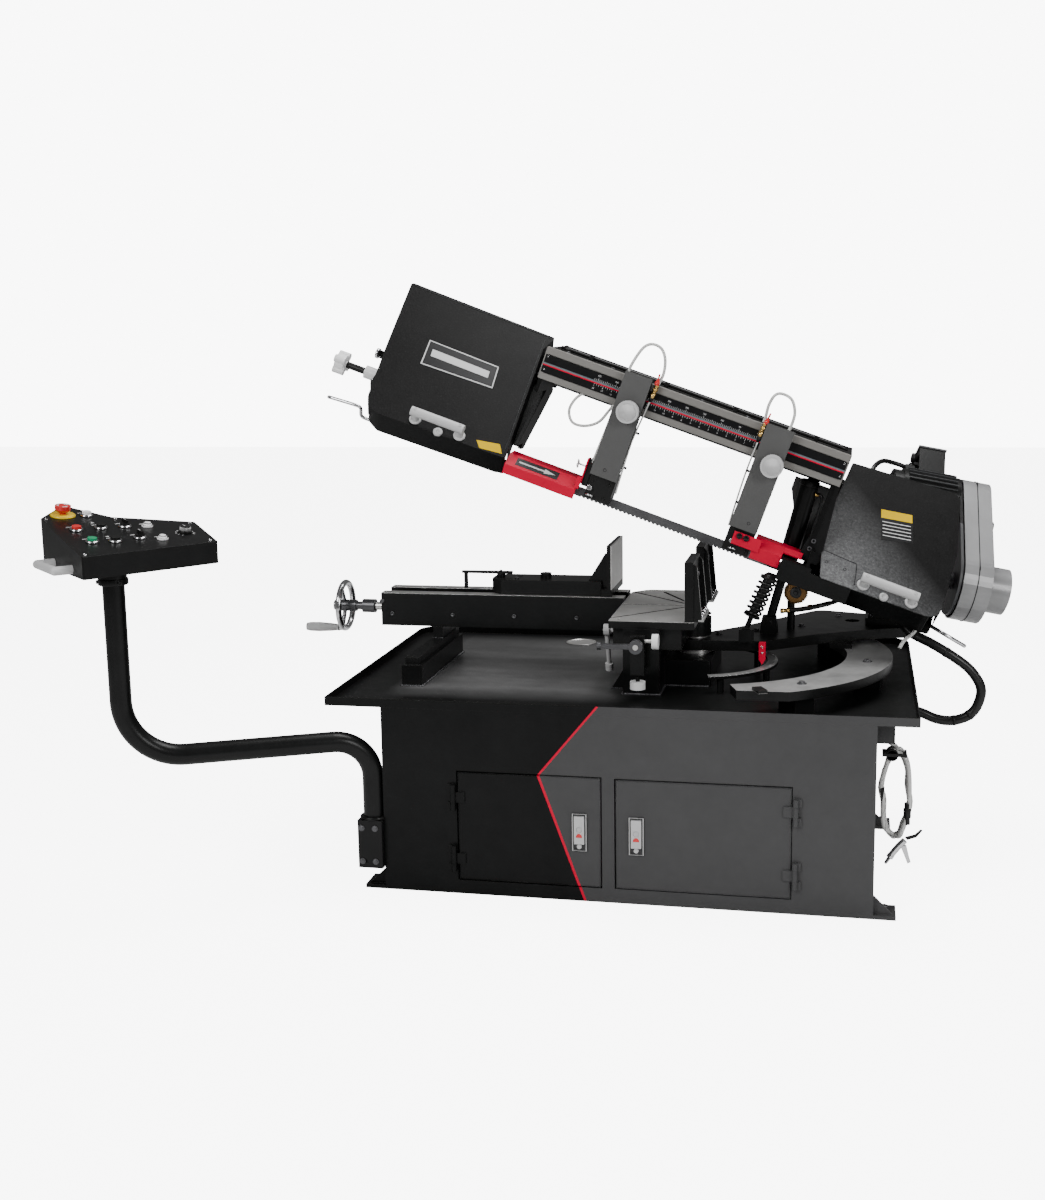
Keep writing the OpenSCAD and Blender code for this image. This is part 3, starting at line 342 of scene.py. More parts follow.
# name, colour, roughness, roughness spread, tone spread, grain scale, bump strength,
# edge wear and painted edge highlight, its colour, dust, specular level, other settings
FINISHES = (
    ("gloss_black", (0.003, 0.0031, 0.0031), 0.34, 0.14, 0.25, 260, 0.12, 0.22, 0.1, 0.008, 0.2,
     dict(coat=0.06)),
    ("texture_black", 0.003, 0.44, 0.3, 0.3, 230, 0.6, 0.2, 0.1, 0.004, 0.09,
     dict(speck=0.3, speck_colour=0.022, **COARSE)),
    # painted reflection: a lighter speckled grey that stands in for light reflected on the right cover's face
    ("texture_sheen", (0.15, 0.152, 0.155), 0.42, 0.3, 0.2, 230, 0.6, 0.2, 0.2, 0, 0.3,
     dict(speck=0.5, speck_colour=(0.34, 0.34, 0.345), **COARSE)),
    ("belt_grey", (0.24, 0.24, 0.243), 0.3, 0.14, 0.12, 300, 0.12, 0.2, 0.5, 0, 0.5,
     dict(metal=0.15, coat=0.1)),
    ("motor_grey", (0.062, 0.063, 0.066), 0.42, 0.16, 0.15, 280, 0.35, 0.3, 0.25, 0.01, 0.35, {}),
    # painted reflection: a lighter grey that stands in for light reflected in the tray floor
    ("tray_sheen", (0.13, 0.13, 0.131), 0.34, 0.2, 0.3, 120, 0.2, 0.1, 0.2, 0, 0.5,
     dict(coat=0.1)),
    ("cabinet_grey", (0.052, 0.052, 0.053), 0.42, 0.14, 0.08, 320, 0.2, 0.2, 0.2, 0.006, 0.2,
     dict(coat=0.03)),
    ("cabinet_black", (0.0022, 0.0023, 0.0023), 0.36, 0.14, 0.2, 320, 0.18, 0.15, 0.06, 0.005,
     0.14, dict(coat=0.03)),
    ("grey_paint", (0.082, 0.082, 0.081), 0.46, 0.12, 0.06, 420, 0.2, 0.25, 0.3, 0.01, 0.25, {}),
    ("dark_grey", (0.03, 0.031, 0.032), 0.42, 0.16, 0.12, 380, 0.25, 0.25, 0.18, 0.01, 0.25, {}),
    ("red_paint", (0.6, 0.0004, 0.034), 0.42, 0.1, 0.05, 300, 0.08, 0.15, (0.75, 0.08, 0.12), 0,
     0.12, dict(coat=0.02)),
    ("red_line", (0.62, 0.0004, 0.034), 0.44, 0.1, 0.05, 300, 0.08, 0, 0.5, 0, 0.08, {}),
    ("machined_steel", (0.62, 0.615, 0.6), 0.32, 0.2, 0.15, 420, 0.25, 0.3, 0.85, 0, 0.5,
     dict(metal=0.8, stretch=(0.15, 1, 1), **BRUSHED)),
    ("ring_top", (0.4, 0.4, 0.395), 0.42, 0.2, 0.22, 90, 0.3, 0.3, 0.6, 0, 0.5,
     dict(metal=0.75)),
    ("dark_steel", (0.1, 0.1, 0.105), 0.36, 0.2, 0.3, 160, 0.3, 0.4, 0.4, 0, 0.5,
     dict(metal=0.8)),
    ("chrome", (0.66, 0.66, 0.67), 0.16, 0.1, 0.05, 240, 0.05, 0, 0.5, 0, 0.5, dict(metal=1)),
    ("cast_grey", (0.03, 0.031, 0.032), 0.42, 0.2, 0.25, 180, 0.5, 0.35, 0.25, 0.01, 0.3,
     dict(bump_depth=0.0005)),
    ("pale_plastic", 0.5, 0.42, 0.12, 0.05, 300, 0.18, 0.1, 0.7, 0, 0.5, {}),
    ("black_plastic", 0.006, 0.38, 0.15, 0.2, 350, 0.2, 0.2, 0.1, 0.004, 0.28, {}),
    ("red_plastic", (0.62, 0.02, 0.02), 0.28, 0.1, 0.08, 260, 0.06, 0, 0.5, 0, 0.5,
     dict(coat=0.2)),
    ("green_plastic", (0.01, 0.28, 0.12), 0.28, 0.1, 0.08, 260, 0.06, 0, 0.5, 0, 0.5,
     dict(coat=0.2)),
    ("white_plastic", 0.86, 0.3, 0.1, 0.03, 260, 0.06, 0, 0.5, 0, 0.5, dict(coat=0.1)),
    ("yellow_plastic", (0.75, 0.52, 0.01), 0.34, 0.1, 0.05, 260, 0.06, 0, 0.5, 0, 0.5, {}),
    ("rail_grey", (0.2, 0.192, 0.18), 0.42, 0.15, 0.08, 520, 0.3, 0.3, (0.5, 0.5, 0.48), 0, 0.5,
     dict(metal=0.25, stretch=(0.2, 1, 1), **BRUSHED)),
    ("spring_black", 0.005, 0.3, 0.15, 0.2, 300, 0.1, 0.2, 0.12, 0, 0.4, {}),
    ("brush_wire", (0.2, 0.1, 0.028), 0.45, 0.2, 0.35, 500, 0.4, 0.2, (0.5, 0.35, 0.15), 0, 0.5,
     dict(metal=0.5)),
    ("blade_steel", (0.13, 0.13, 0.135), 0.34, 0.2, 0.2, 420, 0.2, 0.3, 0.6, 0, 0.5,
     dict(metal=0.9, stretch=(0.1, 1, 1), **BRUSHED)),
    ("clear_hose", (0.72, 0.72, 0.7), 0.22, 0.1, 0.06, 200, 0.05, 0, 0.5, 0, 0.5,
     dict(coat=0.4, transmission=0.25, edge=0.0003)),
    ("brass_fitting", (0.62, 0.4, 0.13), 0.24, 0.15, 0.12, 260, 0.1, 0.2, (0.85, 0.68, 0.4), 0,
     0.5, dict(metal=1)),
    ("black_rubber", 0.006, 0.33, 0.15, 0.2, 220, 0.2, 0, 0.5, 0.004, 0.35, {}),
    ("scale_black", (0.0035, 0.0035, 0.004), 0.32, 0.12, 0.15, 300, 0.05, 0, 0.5, 0, 0.2,
     dict(edge=0.0004)),
    ("scale_blue", (0.115, 0.145, 0.16), 0.4, 0.1, 0.08, 300, 0.05, 0, 0.5, 0, 0.5,
     dict(edge=0.0004)),
    ("print_white", 0.62, 0.5, 0.1, 0.06, 300, 0.05, 0, 0.5, 0, 0.5, dict(edge=0.0001)),
    ("label_yellow", (0.62, 0.4, 0), 0.6, 0.1, 0.04, 300, 0.05, 0, 0.5, 0, 0.02,
     dict(edge=0.0003)),
)
for *columns, extras in FINISHES:
    make_finish(*columns, **extras)

# ---------- masks: each takes a Graph and returns a 0 to 1 socket ----------
ANY = (None, None)


def limits_mask(axes_of, limits):
    def mask(net):
        total = None
        for axis, pair in zip(axes_of(net), limits):
            for limit, test in zip(pair, ("GREATER_THAN", "LESS_THAN")):
                if limit is None:
                    continue
                side = net.math(test, axis, limit / 1000)
                total = side if total is None else net.times(total, side)
        return total
    return mask


def in_world(x=ANY, y=ANY, z=ANY):
    return limits_mask(Graph.axes, (x, y, z))


def in_bow(u=ANY, y=ANY, w=ANY):
    return limits_mask(Graph.bow_axes, (u, y, w))


def past_split(net):
    """Distance in x to the right of the bent line between the two cabinet colours."""
    x, y, z = net.axes()
    upper = net.times(net.math("SUBTRACT", z, 0.329), 0.8297)
    lower = net.times(net.math("SUBTRACT", 0.329, z), 0.3636)
    line = net.math("SUBTRACT", net.math("MAXIMUM", upper, lower), 0.212)
    return net.math("SUBTRACT", x, line)


def left_of_split(net):
    return net.math("LESS_THAN", past_split(net), 0)


def right_of_split(net):
    return net.math("GREATER_THAN", past_split(net), 0)


def on_split(net):
    return net.math("LESS_THAN", net.math("ABSOLUTE", past_split(net)), 0.0034)


def front_cabinet_line(net):
    x, y, z = net.axes()
    return net.times(on_split(net), net.math("LESS_THAN", y, -0.47))


def on_tray_lip(mask):
    def lip(net):
        x, y, z = net.axes()
        return net.times(net.math("LESS_THAN", y, -0.4795), mask(net))
    return lip


def cover_painted_reflection(net):
    """A painted reflection: a speckled light sheen that grows down and to the left over the right cover's face."""
    u, y, w = net.bow_axes()
    p = net.times(net.math("SUBTRACT", net.math("ADD", y, w), (COVER_Y + COVER_W) / 1000), 0.7071)
    down = net.times(net.math("ADD", p, net.times(u, 0.8)), -1)
    reflection_fade = net.remap(down, 0.02, 0.30)
    outer = net.math("GREATER_THAN", net.math("SUBTRACT", w, y), 0.080)
    # noise breaks up the painted reflection
    grain = net.noise(net.coords(), 140, detail=5, rough=0.7)
    return net.times(net.times(reflection_fade, outer), net.remap(grain, 0.3, 0.7, 0.35))


def tray_reflection_mask(net):
    """Painted reflection: a soft-edged light patch on the tray floor, broken up by stretched noise."""
    x, y, z = net.axes()
    across = net.times(net.remap(x, -0.66, -0.60), net.remap(x, 0, -0.13))
    deep = net.times(net.remap(y, -0.38, -0.24), net.remap(y, 0.46, 0.30))
    reflection_patch = net.times(across, deep)
    reflection_streaks = net.noise(net.coords(), 3.2, rough=0.5, stretch=(0.5, 2.2, 1))
    return net.times(net.times(reflection_patch, net.remap(reflection_streaks, 0.3, 0.7, 0.45)),
                     net.math("LESS_THAN", z, 0.51))


# ---------- materials ----------
MATERIALS = {}


def material(name, base=None, *zones):
    """Makes a material once; each zone lays a finish over the base where its mask is 1."""
    if name not in MATERIALS:
        made = bpy.data.materials.new(name)
        made.use_nodes = True
        made.node_tree.nodes.clear()
        net = Graph(made.node_tree)
        shader = net.finish(base or name)
        for finish, mask in zones:
            shader = net.add("ShaderNodeMixShader", {
                0: mask(net), 1: shader, 2: net.finish(finish)}).outputs[0]
        net.add("ShaderNodeOutputMaterial", {0: shader})
        MATERIALS[name] = made
    return MATERIALS[name]


# right cover: painted reflection, a lighter gradient laid over its face
material("right_cover_sheen", "texture_black", ("texture_sheen", cover_painted_reflection))
material("cabinet_split", "cabinet_grey", ("cabinet_black", left_of_split),
         ("red_line", front_cabinet_line))
# tray: two-tone split and red line, plus a painted reflection patch on its floor
material("tray_split", "cabinet_black", ("tray_sheen", tray_reflection_mask),
         ("cabinet_grey", on_tray_lip(right_of_split)), ("red_line", on_tray_lip(on_split)))
material("table_top", "gloss_black", ("machined_steel", in_world(z=(689.2, None))))
material("bed_two", "gloss_black", ("machined_steel", in_world(z=(699.2, None))))
material("jaw_two", "gloss_black",
         ("machined_steel", in_world(x=(-103, None), z=(721, None))))
material("fixed_jaw_two", "gloss_black",
         ("machined_steel", in_world(x=(None, 134.6), z=(691, None))))
material("stop_two", "machined_steel", ("gloss_black", in_world(x=(1, 39), y=(-323, -299))),
         ("white_plastic", in_world(z=(None, 542.2))),
         ("white_plastic", in_world(x=(57.8, None))))
material("wheel_two", "chrome",
         ("dark_steel", in_world(x=(-936, -811), y=(75, 115), z=(628, 668))),
         ("machined_steel", in_world(x=(-811, None))))
material("guide_two", "grey_paint", ("black_plastic", in_bow(w=(None, 49))),
         ("black_plastic", in_bow(y=(-65.5, None))))
material("tension_two", "white_plastic", ("black_plastic", in_bow(u=(-1662, None))),
         ("white_plastic", in_bow(u=(-1604, -1562))), ("dark_steel", in_bow(u=(-1562, None))))
material("ring_two", "gloss_black", ("ring_top", in_world(z=(564.6, 565.6))))
material("arc_two", "gloss_black", ("ring_top", in_world(z=(541.6, None))))
material("motor_two", "gloss_black", ("motor_grey", in_bow(w=(None, 235))))

# CAD pieces whose material is not the one in their record
CAD_MATERIALS = {
    "base_cabinet": "cabinet_split", "left_door": "cabinet_split",
    "right_door": "cabinet_grey", "chip_tray": "tray_split", "saw_table": "table_top",
    "vise_bed": "bed_two", "moving_jaw": "jaw_two", "fixed_jaws": "fixed_jaw_two",
    "stop_rod": "stop_two", "vise_handwheel": "wheel_two", "guide_arm_left": "guide_two",
    "guide_arm_right": "guide_two", "tension_handle": "tension_two",
    "coolant_unit": "dark_grey", "swivel_ring": "ring_two", "scale_arc": "arc_two",
    "stop_arm": "dark_steel", "table_clamp_lever": "pale_plastic",
    "cylinder_rod": "gloss_black", "pivot_shaft": "machined_steel", "gear_motor": "motor_two",
    "left_latch": "pale_plastic", "right_latch": "pale_plastic", "belt_cover": "belt_grey",
    "right_wheel_cover": "right_cover_sheen", "idler_wheel": "cast_grey",
    "drive_wheel": "cast_grey", "control_box": "gloss_black",
}
for name, node in frame["nodes"].items():
    chosen = CAD_MATERIALS.get(name)
    if chosen is None:
        chosen = next((part["material_slot"] for part in frame["record"]["subparts"]
                       if part["node"] == name), "gloss_black")
    node.data.materials.clear()
    node.data.materials.append(material(chosen))

# ---------- piece builder ----------
# Slot of each finish, where it is not the finish's own name.
SLOT_OF = {
    "scale_black": "black_plastic", "scale_blue": "rail_grey", "red_line": "red_paint",
    "print_white": "white_plastic", "label_yellow": "pale_plastic",
    "yellow_plastic": "pale_plastic", "dark_grey": "grey_paint", "motor_grey": "gloss_black",
    "dark_steel": "machined_steel", "ring_top": "machined_steel",
    "cabinet_split": "cabinet_grey",
}
# Corners 0 to 3 go round one face, 4 to 7 round the opposite one.
BLOCK_FACES = ((3, 2, 1, 0), (4, 5, 6, 7), (0, 1, 5, 4), (1, 2, 6, 5), (2, 3, 7, 6), (3, 0, 4, 7))
FIN_FACES = ((0, 1, 2, 3), (7, 6, 5, 4), (0, 4, 5, 1), (1, 5, 6, 2), (2, 6, 7, 3), (3, 7, 4, 0))


def add_object(name, data):
    made = bpy.data.objects.new(name, data)
    bpy.context.scene.collection.objects.link(made)
    return made


def cross_axes(direction):
    """Two unit vectors square to a direction."""
    direction = direction.normalized()
    helper = UP if abs(direction.z) < 0.9 else RIGHT
    side = direction.cross(helper).normalized()
    return side, direction.cross(side)


def spline(points, steps, closed=False):
    """Smooth curve through the points, with a number of steps from each to the next."""
    count = len(points)
    if count == 2:
        return [points[0].lerp(points[1], i / steps) for i in range(steps + 1)]
    curve = []
    for i in range(count if closed else count - 1):
        start, end = points[i], points[(i + 1) % count]
        before = points[i - 1] if (i > 0 or closed) else start * 2 - end
        after = points[(i + 2) % count] if (i + 2 < count or closed) else end * 2 - start
        for j in range(steps):
            t = j / steps
            curve.append(0.5 * ((2 * start) + (end - before) * t
                                + (2 * before - 5 * start + 4 * end - after) * t * t
                                + (3 * start - before - 3 * end + after) * t ** 3))
    if not closed:
        curve.append(points[-1].copy())
    return curve


class Piece:
    """One mesh object in the making: points in metres, sizes in millimetres."""

    def __init__(self, name):
        self.name = name
        self.bm = bmesh.new()

    def verts(self, points):
        return [self.bm.verts.new(point) for point in points]

    def ring(self, centre, side, other, radius, count):
        """Here the radius is in metres."""
        return self.verts(around(centre, side, other, radius, 2 * math.pi * i / count)
                          for i in range(count))

    def loft(self, rings, closed=False, smooth=True):
        size = len(rings[0])
        for i in range(len(rings) - (0 if closed else 1)):
            near, far = rings[i], rings[(i + 1) % len(rings)]
            for j in range(size):
                k = (j + 1) % size
                self.bm.faces.new((near[j], near[k], far[k], far[j])).smooth = smooth
        if not closed:
            self.bm.faces.new(rings[0][::-1])
            self.bm.faces.new(rings[-1])

    def cyl(self, start, end, radius, end_radius=None, count=24):
        radius /= 1000
        end_radius = radius if end_radius is None else end_radius / 1000
        axes = cross_axes(end - start)
        self.loft([self.ring(start, *axes, radius, count),
                   self.ring(end, *axes, end_radius, count)])
        return self

    def lathe(self, start, direction, profile, count=28):
        """The profile lists (distance along the direction, radius)."""
        direction = direction.normalized()
        axes = cross_axes(direction)
        self.loft([self.ring(start + direction * (distance / 1000), *axes,
                             max(radius, 0.01) / 1000, count) for distance, radius in profile])
        return self

    def lathes(self, starts, direction, profile, count=28):
        for start in starts:
            self.lathe(start, direction, profile, count)
        return self

    def block(self, corners, faces=BLOCK_FACES):
        corners = self.verts(corners)
        for face in faces:
            self.bm.faces.new([corners[k] for k in face])
        return self

    def box(self, place, x0, x1, y0, y1, z0, z1):
        return self.block([place(x, y, z) for z in (z0, z1)
                           for x, y in ((x0, y0), (x1, y0), (x1, y1), (x0, y1))])

    def prism(self, place, outline, start, end):
        """Outline (across, up), extruded from one depth to the other."""
        near = self.verts(place(*point, start) for point in outline)
        far = self.verts(place(*point, end) for point in outline)
        self.bm.faces.new(near[::-1])
        self.bm.faces.new(far)
        for i in range(len(near)):
            k = (i + 1) % len(near)
            self.bm.faces.new((near[i], near[k], far[k], far[i]))
        return self

    def tube(self, points, radius, count=14, steps=8, closed=False):
        path = spline(points, steps, closed)
        last = len(path) - 1
        side, _ = cross_axes((path[1] - path[0]).normalized())
        rings = []
        for i, point in enumerate(path):
            if closed:
                heading = (path[(i + 1) % len(path)] - path[i - 1]).normalized()
            else:
                heading = (path[min(i + 1, last)] - path[max(i - 1, 0)]).normalized()
            side = (side - heading * side.dot(heading)).normalized()
            dice.random()  # sets where the bristles and weld beads start in the random series
            rings.append(self.ring(point, side, heading.cross(side), radius / 1000, count))
        self.loft(rings, closed)
        return self

    def ball(self, centre, radius, scale=(1, 1, 1), segments=16):
        size = Matrix.Diagonal((*(factor * radius / 1000 for factor in scale), 1))
        sphere = bmesh.ops.create_uvsphere(
            self.bm, u_segments=segments, v_segments=max(6, segments // 2), radius=1,
            matrix=Matrix.Translation(centre) @ size)
        for vert in sphere["verts"]:
            for face in vert.link_faces:
                face.smooth = True
        return self

    def text(self, body, size, origin, across, upward):
        curve = bpy.data.curves.new("text", "FONT")
        curve.body = body
        curve.size = size / 1000
        curve.align_x = "CENTER"
        curve.align_y = "CENTER"
        curve.extrude = 0.25 / 1000
        curve.resolution_u = 2
        holder = add_object("text", curve)
        bpy.context.view_layer.update()
        depsgraph = bpy.context.evaluated_depsgraph_get()
        mesh = bpy.data.meshes.new_from_object(holder.evaluated_get(depsgraph))
        normal = across.cross(upward).normalized()
        axes = (across.normalized(), upward.normalized(), normal)
        placing = Matrix(axes).transposed().to_4x4()
        placing.translation = origin
        mesh.transform(placing)
        self.bm.from_mesh(mesh)
        bpy.data.objects.remove(holder)
        bpy.data.curves.remove(curve)
        bpy.data.meshes.remove(mesh)
        return self

    def hexbolts(self, places, direction, radius=7, height=5):
        """Hexagon heads on washers."""
        direction = direction.normalized()
        axes = cross_axes(direction)
        for place in places:
            self.lathe(place, direction, [(0, radius * 1.35), (1.6, radius * 1.35)], 24)
            levels = ((1.5, radius), (height, radius), (height + 0.8, radius * 0.86))
            self.loft([self.ring(place + direction * (rise / 1000), *axes, size / 1000, 6)
                       for rise, size in levels], smooth=False)
        return self

    def capscrews(self, places, direction, radius=5.5, height=5):
        """Round heads with a socket."""
        return self.lathes(places, direction, [
            (-1, radius), (height - 0.7, radius), (height, radius - 0.7),
            (height, radius * 0.55), (height - 2, radius * 0.5), (height - 2.1, 0.2)], 20)

    def bead(self, start, end, radius):
        """A row of uneven beads about 5.5 mm apart."""
        count = max(2, int((end - start).length * 1000 / 5.5))
        for i in range(count + 1):
            shift = Vector((dice.uniform(-0.4, 0.4), dice.uniform(-0.4, 0.4),
                            dice.uniform(-0.3, 0.3))) / 1000
            self.ball(start.lerp(end, i / count) + shift, radius * dice.uniform(0.85, 1.12),
                      (1, 1, 0.75), 8)
        return self

    def done(self, finish, body=None, bevel=0, slot=None):
        """Makes the object, which rides on a body if one is named."""
        bmesh.ops.recalc_face_normals(self.bm, faces=self.bm.faces)
        mesh = bpy.data.meshes.new(self.name)
        self.bm.to_mesh(mesh)
        self.bm.free()
        made = add_object(self.name, mesh)
        mesh.materials.append(material(finish))
        if bevel:
            modifier = made.modifiers.new("bevel", "BEVEL")
            modifier.width = bevel / 1000
            modifier.segments = 2
            modifier.limit_method = "ANGLE"
            modifier.angle_limit = 0.6
        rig.slot(made, slot or SLOT_OF.get(finish, finish))
        if body:
            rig.ride(made, body)
        return made


# ---------- ruler on the guide rail ----------
RULER_LEFT, RULER_RIGHT, RULER_ZERO = -1086, -231, -478
CM_FOOT, INCH_TOP = 287.0, 278.2  # w where the tick marks start
# name, front y, w range, finish
for name, y, low, high, finish in (
        ("scale_plate_upper", -38.9, 286.5, 308.5, "scale_black"),
        ("scale_plate_lower", -38.9, 259.4, 278.4, "scale_black"),
        ("scale_strip_blue", -38.7, 281.9, 286.4, "scale_blue"),
        ("scale_strip_red", -39.0, 278.5, 281.8, "red_line")):
    part = Piece(name).box(bow, RULER_LEFT, RULER_RIGHT, y, -37.9, low, high)
    part.done(finish, "head", 0.2)

part = Piece("scale_marks")
for k in range(93):  # every 5 mm, numbered every 50
    u = RULER_ZERO - 5 * k
    height = 8 if k % 10 == 0 else 6 if k % 5 == 0 else 4.4
    part.box(bow, u - 0.4, u + 0.4, -39.15, -38.85, CM_FOOT, CM_FOOT + height)
    if k % 10 == 0:
        part.text(str(50 * (k // 10)), 6.2, bow(u, -39.0, 300.5), BOW_U, BOW_W)
for k in range(73):  # quarter inches
    u = RULER_ZERO - 25.4 / 4 * k
    height = 8 if k % 4 == 0 else 5.4 if k % 2 == 0 else 3.6
    part.box(bow, u - 0.4, u + 0.4, -39.15, -38.85, INCH_TOP - height, INCH_TOP)
    if k % 4 == 0:
        part.text(str(k // 4), 6.2, bow(u, -39.0, 264.3), BOW_U, BOW_W)
part.done("print_white", "head")
Piece("rail_end_screws").capscrews(
    along(bow, (-1079, -38.9, 303), (-1079, -38.9, 268), (-238, -38.9, 303), (-238, -38.9, 267)),
    FRONT, 2.6, 1.2).done("chrome", "head")


# ---------- guide hoses, valves and tubes ----------
def guide_hose(side, hose, valve, lever, tube, loop=None):
    """Each argument lists bow points; the valve and lever run from first to last."""
    body = "guide_" + side
    part = Piece(side + "_coolant_hose").tube(along(bow, *hose), 4.2)
    if loop:
        part.tube(along(bow, *loop), 4.0)
    part.done("clear_hose", body)

    top, bottom = along(bow, *valve)
    length = (bottom - top).length * 1000
    Piece(side + "_valve").lathe(top, (bottom - top).normalized(), [
        (-3, 4.5), (0, 6.8), (6, 6.8), (6.5, 5), (9, 5), (9.5, 7.4), (17, 7.4), (17.5, 5.2),
        (22, 5.2), (22.5, 6.6), (length - 6, 6.6), (length, 3.2)], 12).done("brass_fitting", body)

    tip, hub = along(bow, *lever)
    upward = (tip - hub).normalized()
    across = upward.cross(FRONT).normalized()
    Piece(side + "_valve_lever").prism(
        lambda h, v, d: hub + across * (h / 1000) + upward * (v / 1000) + FRONT * (d / 1000),
        [(-6.5, -3), (5.5, -3), (6.5, 6), (3, 12), (3.2, 27), (-1.5, 28), (-2.5, 12), (-6, 6)],
        -1.5, 1.5).lathe(hub, FRONT, [(0, 5), (4, 5), (5, 3.8)], 6).done(
        "red_plastic", body, 0.4, slot="red_paint")

    path = along(bow, *tube)
    Piece(side + "_spray_tube").tube(path, 2.6, 10).done("machined_steel", body)
    heading = (path[1] - path[0]).normalized()
    bands = [path[0].lerp(path[-1], t) - heading * 0.003 for t in (0.35, 0.72)]
    Piece(side + "_tube_joint").lathe(
        path[0] - heading * 0.012, heading, [(0, 6), (9, 6), (9.5, 5), (15, 4.4)], 16).lathes(
        bands, heading, [(0, 4.6), (6, 4.6)], 12).done("black_plastic", body)


guide_hose(
    "left",
    hose=[(-848, -52, 322), (-857, -50, 343), (-852, -48, 378), (-840, -48, 413),
          (-821, -48, 428), (-795, -48, 425), (-776, -48, 402), (-767, -48, 366),
          (-770, -50, 334)],
    valve=[(-772, -52, 331), (-775, -52, 290)], lever=[(-776, -58, 364), (-773, -58, 334)],
    tube=[(-776, -52, 286), (-781, -52, 230), (-785, -56, 170), (-783, -60, 100),
          (-779, -60, 20)],
    loop=[(-868, -46, 75), (-864, -34, 190), (-866, -30, 241), (-874, -30, 223),
          (-891, -30, 183), (-924, -30, 160), (-959, -30, 158), (-978, -30, 186),
          (-971, -30, 222), (-950, -24, 247), (-925, -6, 262), (-890, 6, 270)])
guide_hose(
    "right",
    hose=[(-474, -52, 334), (-474, -48, 350), (-477, -48, 382), (-471, -48, 410),
          (-454, -48, 420), (-426, -48, 414), (-407, -48, 386), (-403, -48, 354),
          (-406, -50, 322)],
    valve=[(-468, -58, 333), (-471, -58, 292)], lever=[(-465, -64, 362), (-467, -64, 336)],
    tube=[(-470, -60, 284), (-471, -60, 200), (-468, -60, 120), (-464, -60, 47)])

# ---------- guide arms: screws, adjusters and knob faces ----------
# side, u of the arm, centre of the knob
for side, u, knob in (("left", -827, (-819, -104, 241)), ("right", -416, (-412, -104, 237))):
    body = "guide_" + side
    Piece(side + "_arm_screws").lathe(
        bow(u, -66.2, 71), FRONT, [(-1, 4.6), (0.3, 4.6), (0.3, 3.4), (-2, 3.2)], 18).capscrews(
        along(bow, (u - 24, -50, 30), (u + 22, -50, 34), (u - 18, -50, 6), (u + 20, -50, -6)),
        FRONT, 4.4, 2.4).done("black_plastic", body)
    Piece(side + "_block_adjuster").lathe(
        bow(u - 26, -50, 10), FRONT, [(0, 8), (5, 8), (6, 6)], 22).cyl(
        bow(u - 30, -56, -9), bow(u - 8, -56, -9), 3.2).done("chrome", body)
    centre = bow(*knob)
    part = Piece(side + "_knob_face").lathe(
        centre, FRONT, [(-0.5, 21), (0.6, 20.6), (0.7, 6), (1.6, 5.4), (1.6, 0.2)], 40)
    for i in range(36):  # grip ribs round the knob
        rib = around(centre, BOW_U, BOW_W, 0.0300, 2 * math.pi * i / 36)
        part.cyl(rib + BACK * 0.006, rib + BACK * 0.024, 0.8, count=6)
    part.done("pale_plastic", "guide_knob_" + side)

# ---------- blade guards ----------
Piece("left_shoe_block").box(bow, -878, -862.6, -49, 14, 8, 82).done(
    "black_plastic", "guide_left", 0.8, slot="gloss_black")
Piece("left_guard_tab").box(bow, -882.5, -878.2, -56, -22, 12, 84).done(
    "red_paint", "guide_left", 0.6)
Piece("guard_thumb_screw").cyl(bow(-899, -56, 62), bow(-880, -56, 62), 2.6).ball(
    bow(-903, -56, 66), 7, (0.45, 0.8, 1.2)).ball(
    bow(-903, -56, 56), 7, (0.45, 0.8, 1.0)).done("chrome", "guide_left")
Piece("guard_bolts").capscrews(
    along(bow, (-427, -66, 31), (-408, -66, 31)), FRONT, 8.2, 5).done(
    "black_plastic", "guide_right")

SLOPE_Y, SLOPE_W = 34.5, 28  # run and rise of the left guard's sloping face
SLOPE_LENGTH = math.hypot(SLOPE_Y, SLOPE_W)


def guard_slope(u, climb, out):
    back, rise = SLOPE_Y / SLOPE_LENGTH, SLOPE_W / SLOPE_LENGTH
    return bow(u, -62 + back * climb - rise * (out + 0.1), -8 + rise * climb + back * (out + 0.1))


Piece("arrow_plate").prism(
    guard_slope, [(-1068, 9), (-944, 9), (-944, 37), (-1068, 37)], -0.4, 0.5).done(
    "scale_black", "guide_left", 0.2)
Piece("arrow_mark").prism(
    guard_slope, [(-1060, 20.5), (-985, 20.5), (-985, 15), (-953, 23), (-985, 31),
                  (-985, 25.5), (-1060, 25.5)], 0.3, 0.9).done("print_white", "guide_left")

# ---------- wheel covers: plates, locks, handle feet and seams ----------
# name, outline (u, p), q range, finish, side, bevel
COVER_PLATES = (
    ("badge_rim", [(-1450, 81), (-1233, 74), (-1220, -6), (-1439, -11)], 59.8, 61.2,
     "pale_plastic", "left", 0.5),
    ("badge_face", [(-1446, 77), (-1236, 70), (-1224, -2), (-1435, -7)], 61.0, 61.9,
     "scale_black", "left", 0.5),
    ("badge_band", [(-1428, 52), (-1250, 46), (-1246, 22), (-1424, 26)], 61.6, 62.4,
     "pale_plastic", "left", 0.3),
    ("cover_small_label", [(-1190, -192), (-1126, -178), (-1108, -206), (-1172, -214)],
     59.8, 60.5, "label_yellow", "left", 0.3),
    ("right_cover_label", [(-98, 66), (-12, 84), (12, -8), (-72, -34)], 59.8, 60.5,
     "scale_black", "right", 0.3),
    ("right_cover_label_band", [(-97, 65), (-13, 82), (-6, 56), (-90, 38)], 60.4, 60.9,
     "label_yellow", "right", 0.2),
)
for name, outline, low, high, finish, side, bevel in COVER_PLATES:
    Piece(name).prism(cover, outline, low, high).done(finish, side + "_cover", bevel)
part = Piece("right_cover_label_lines")
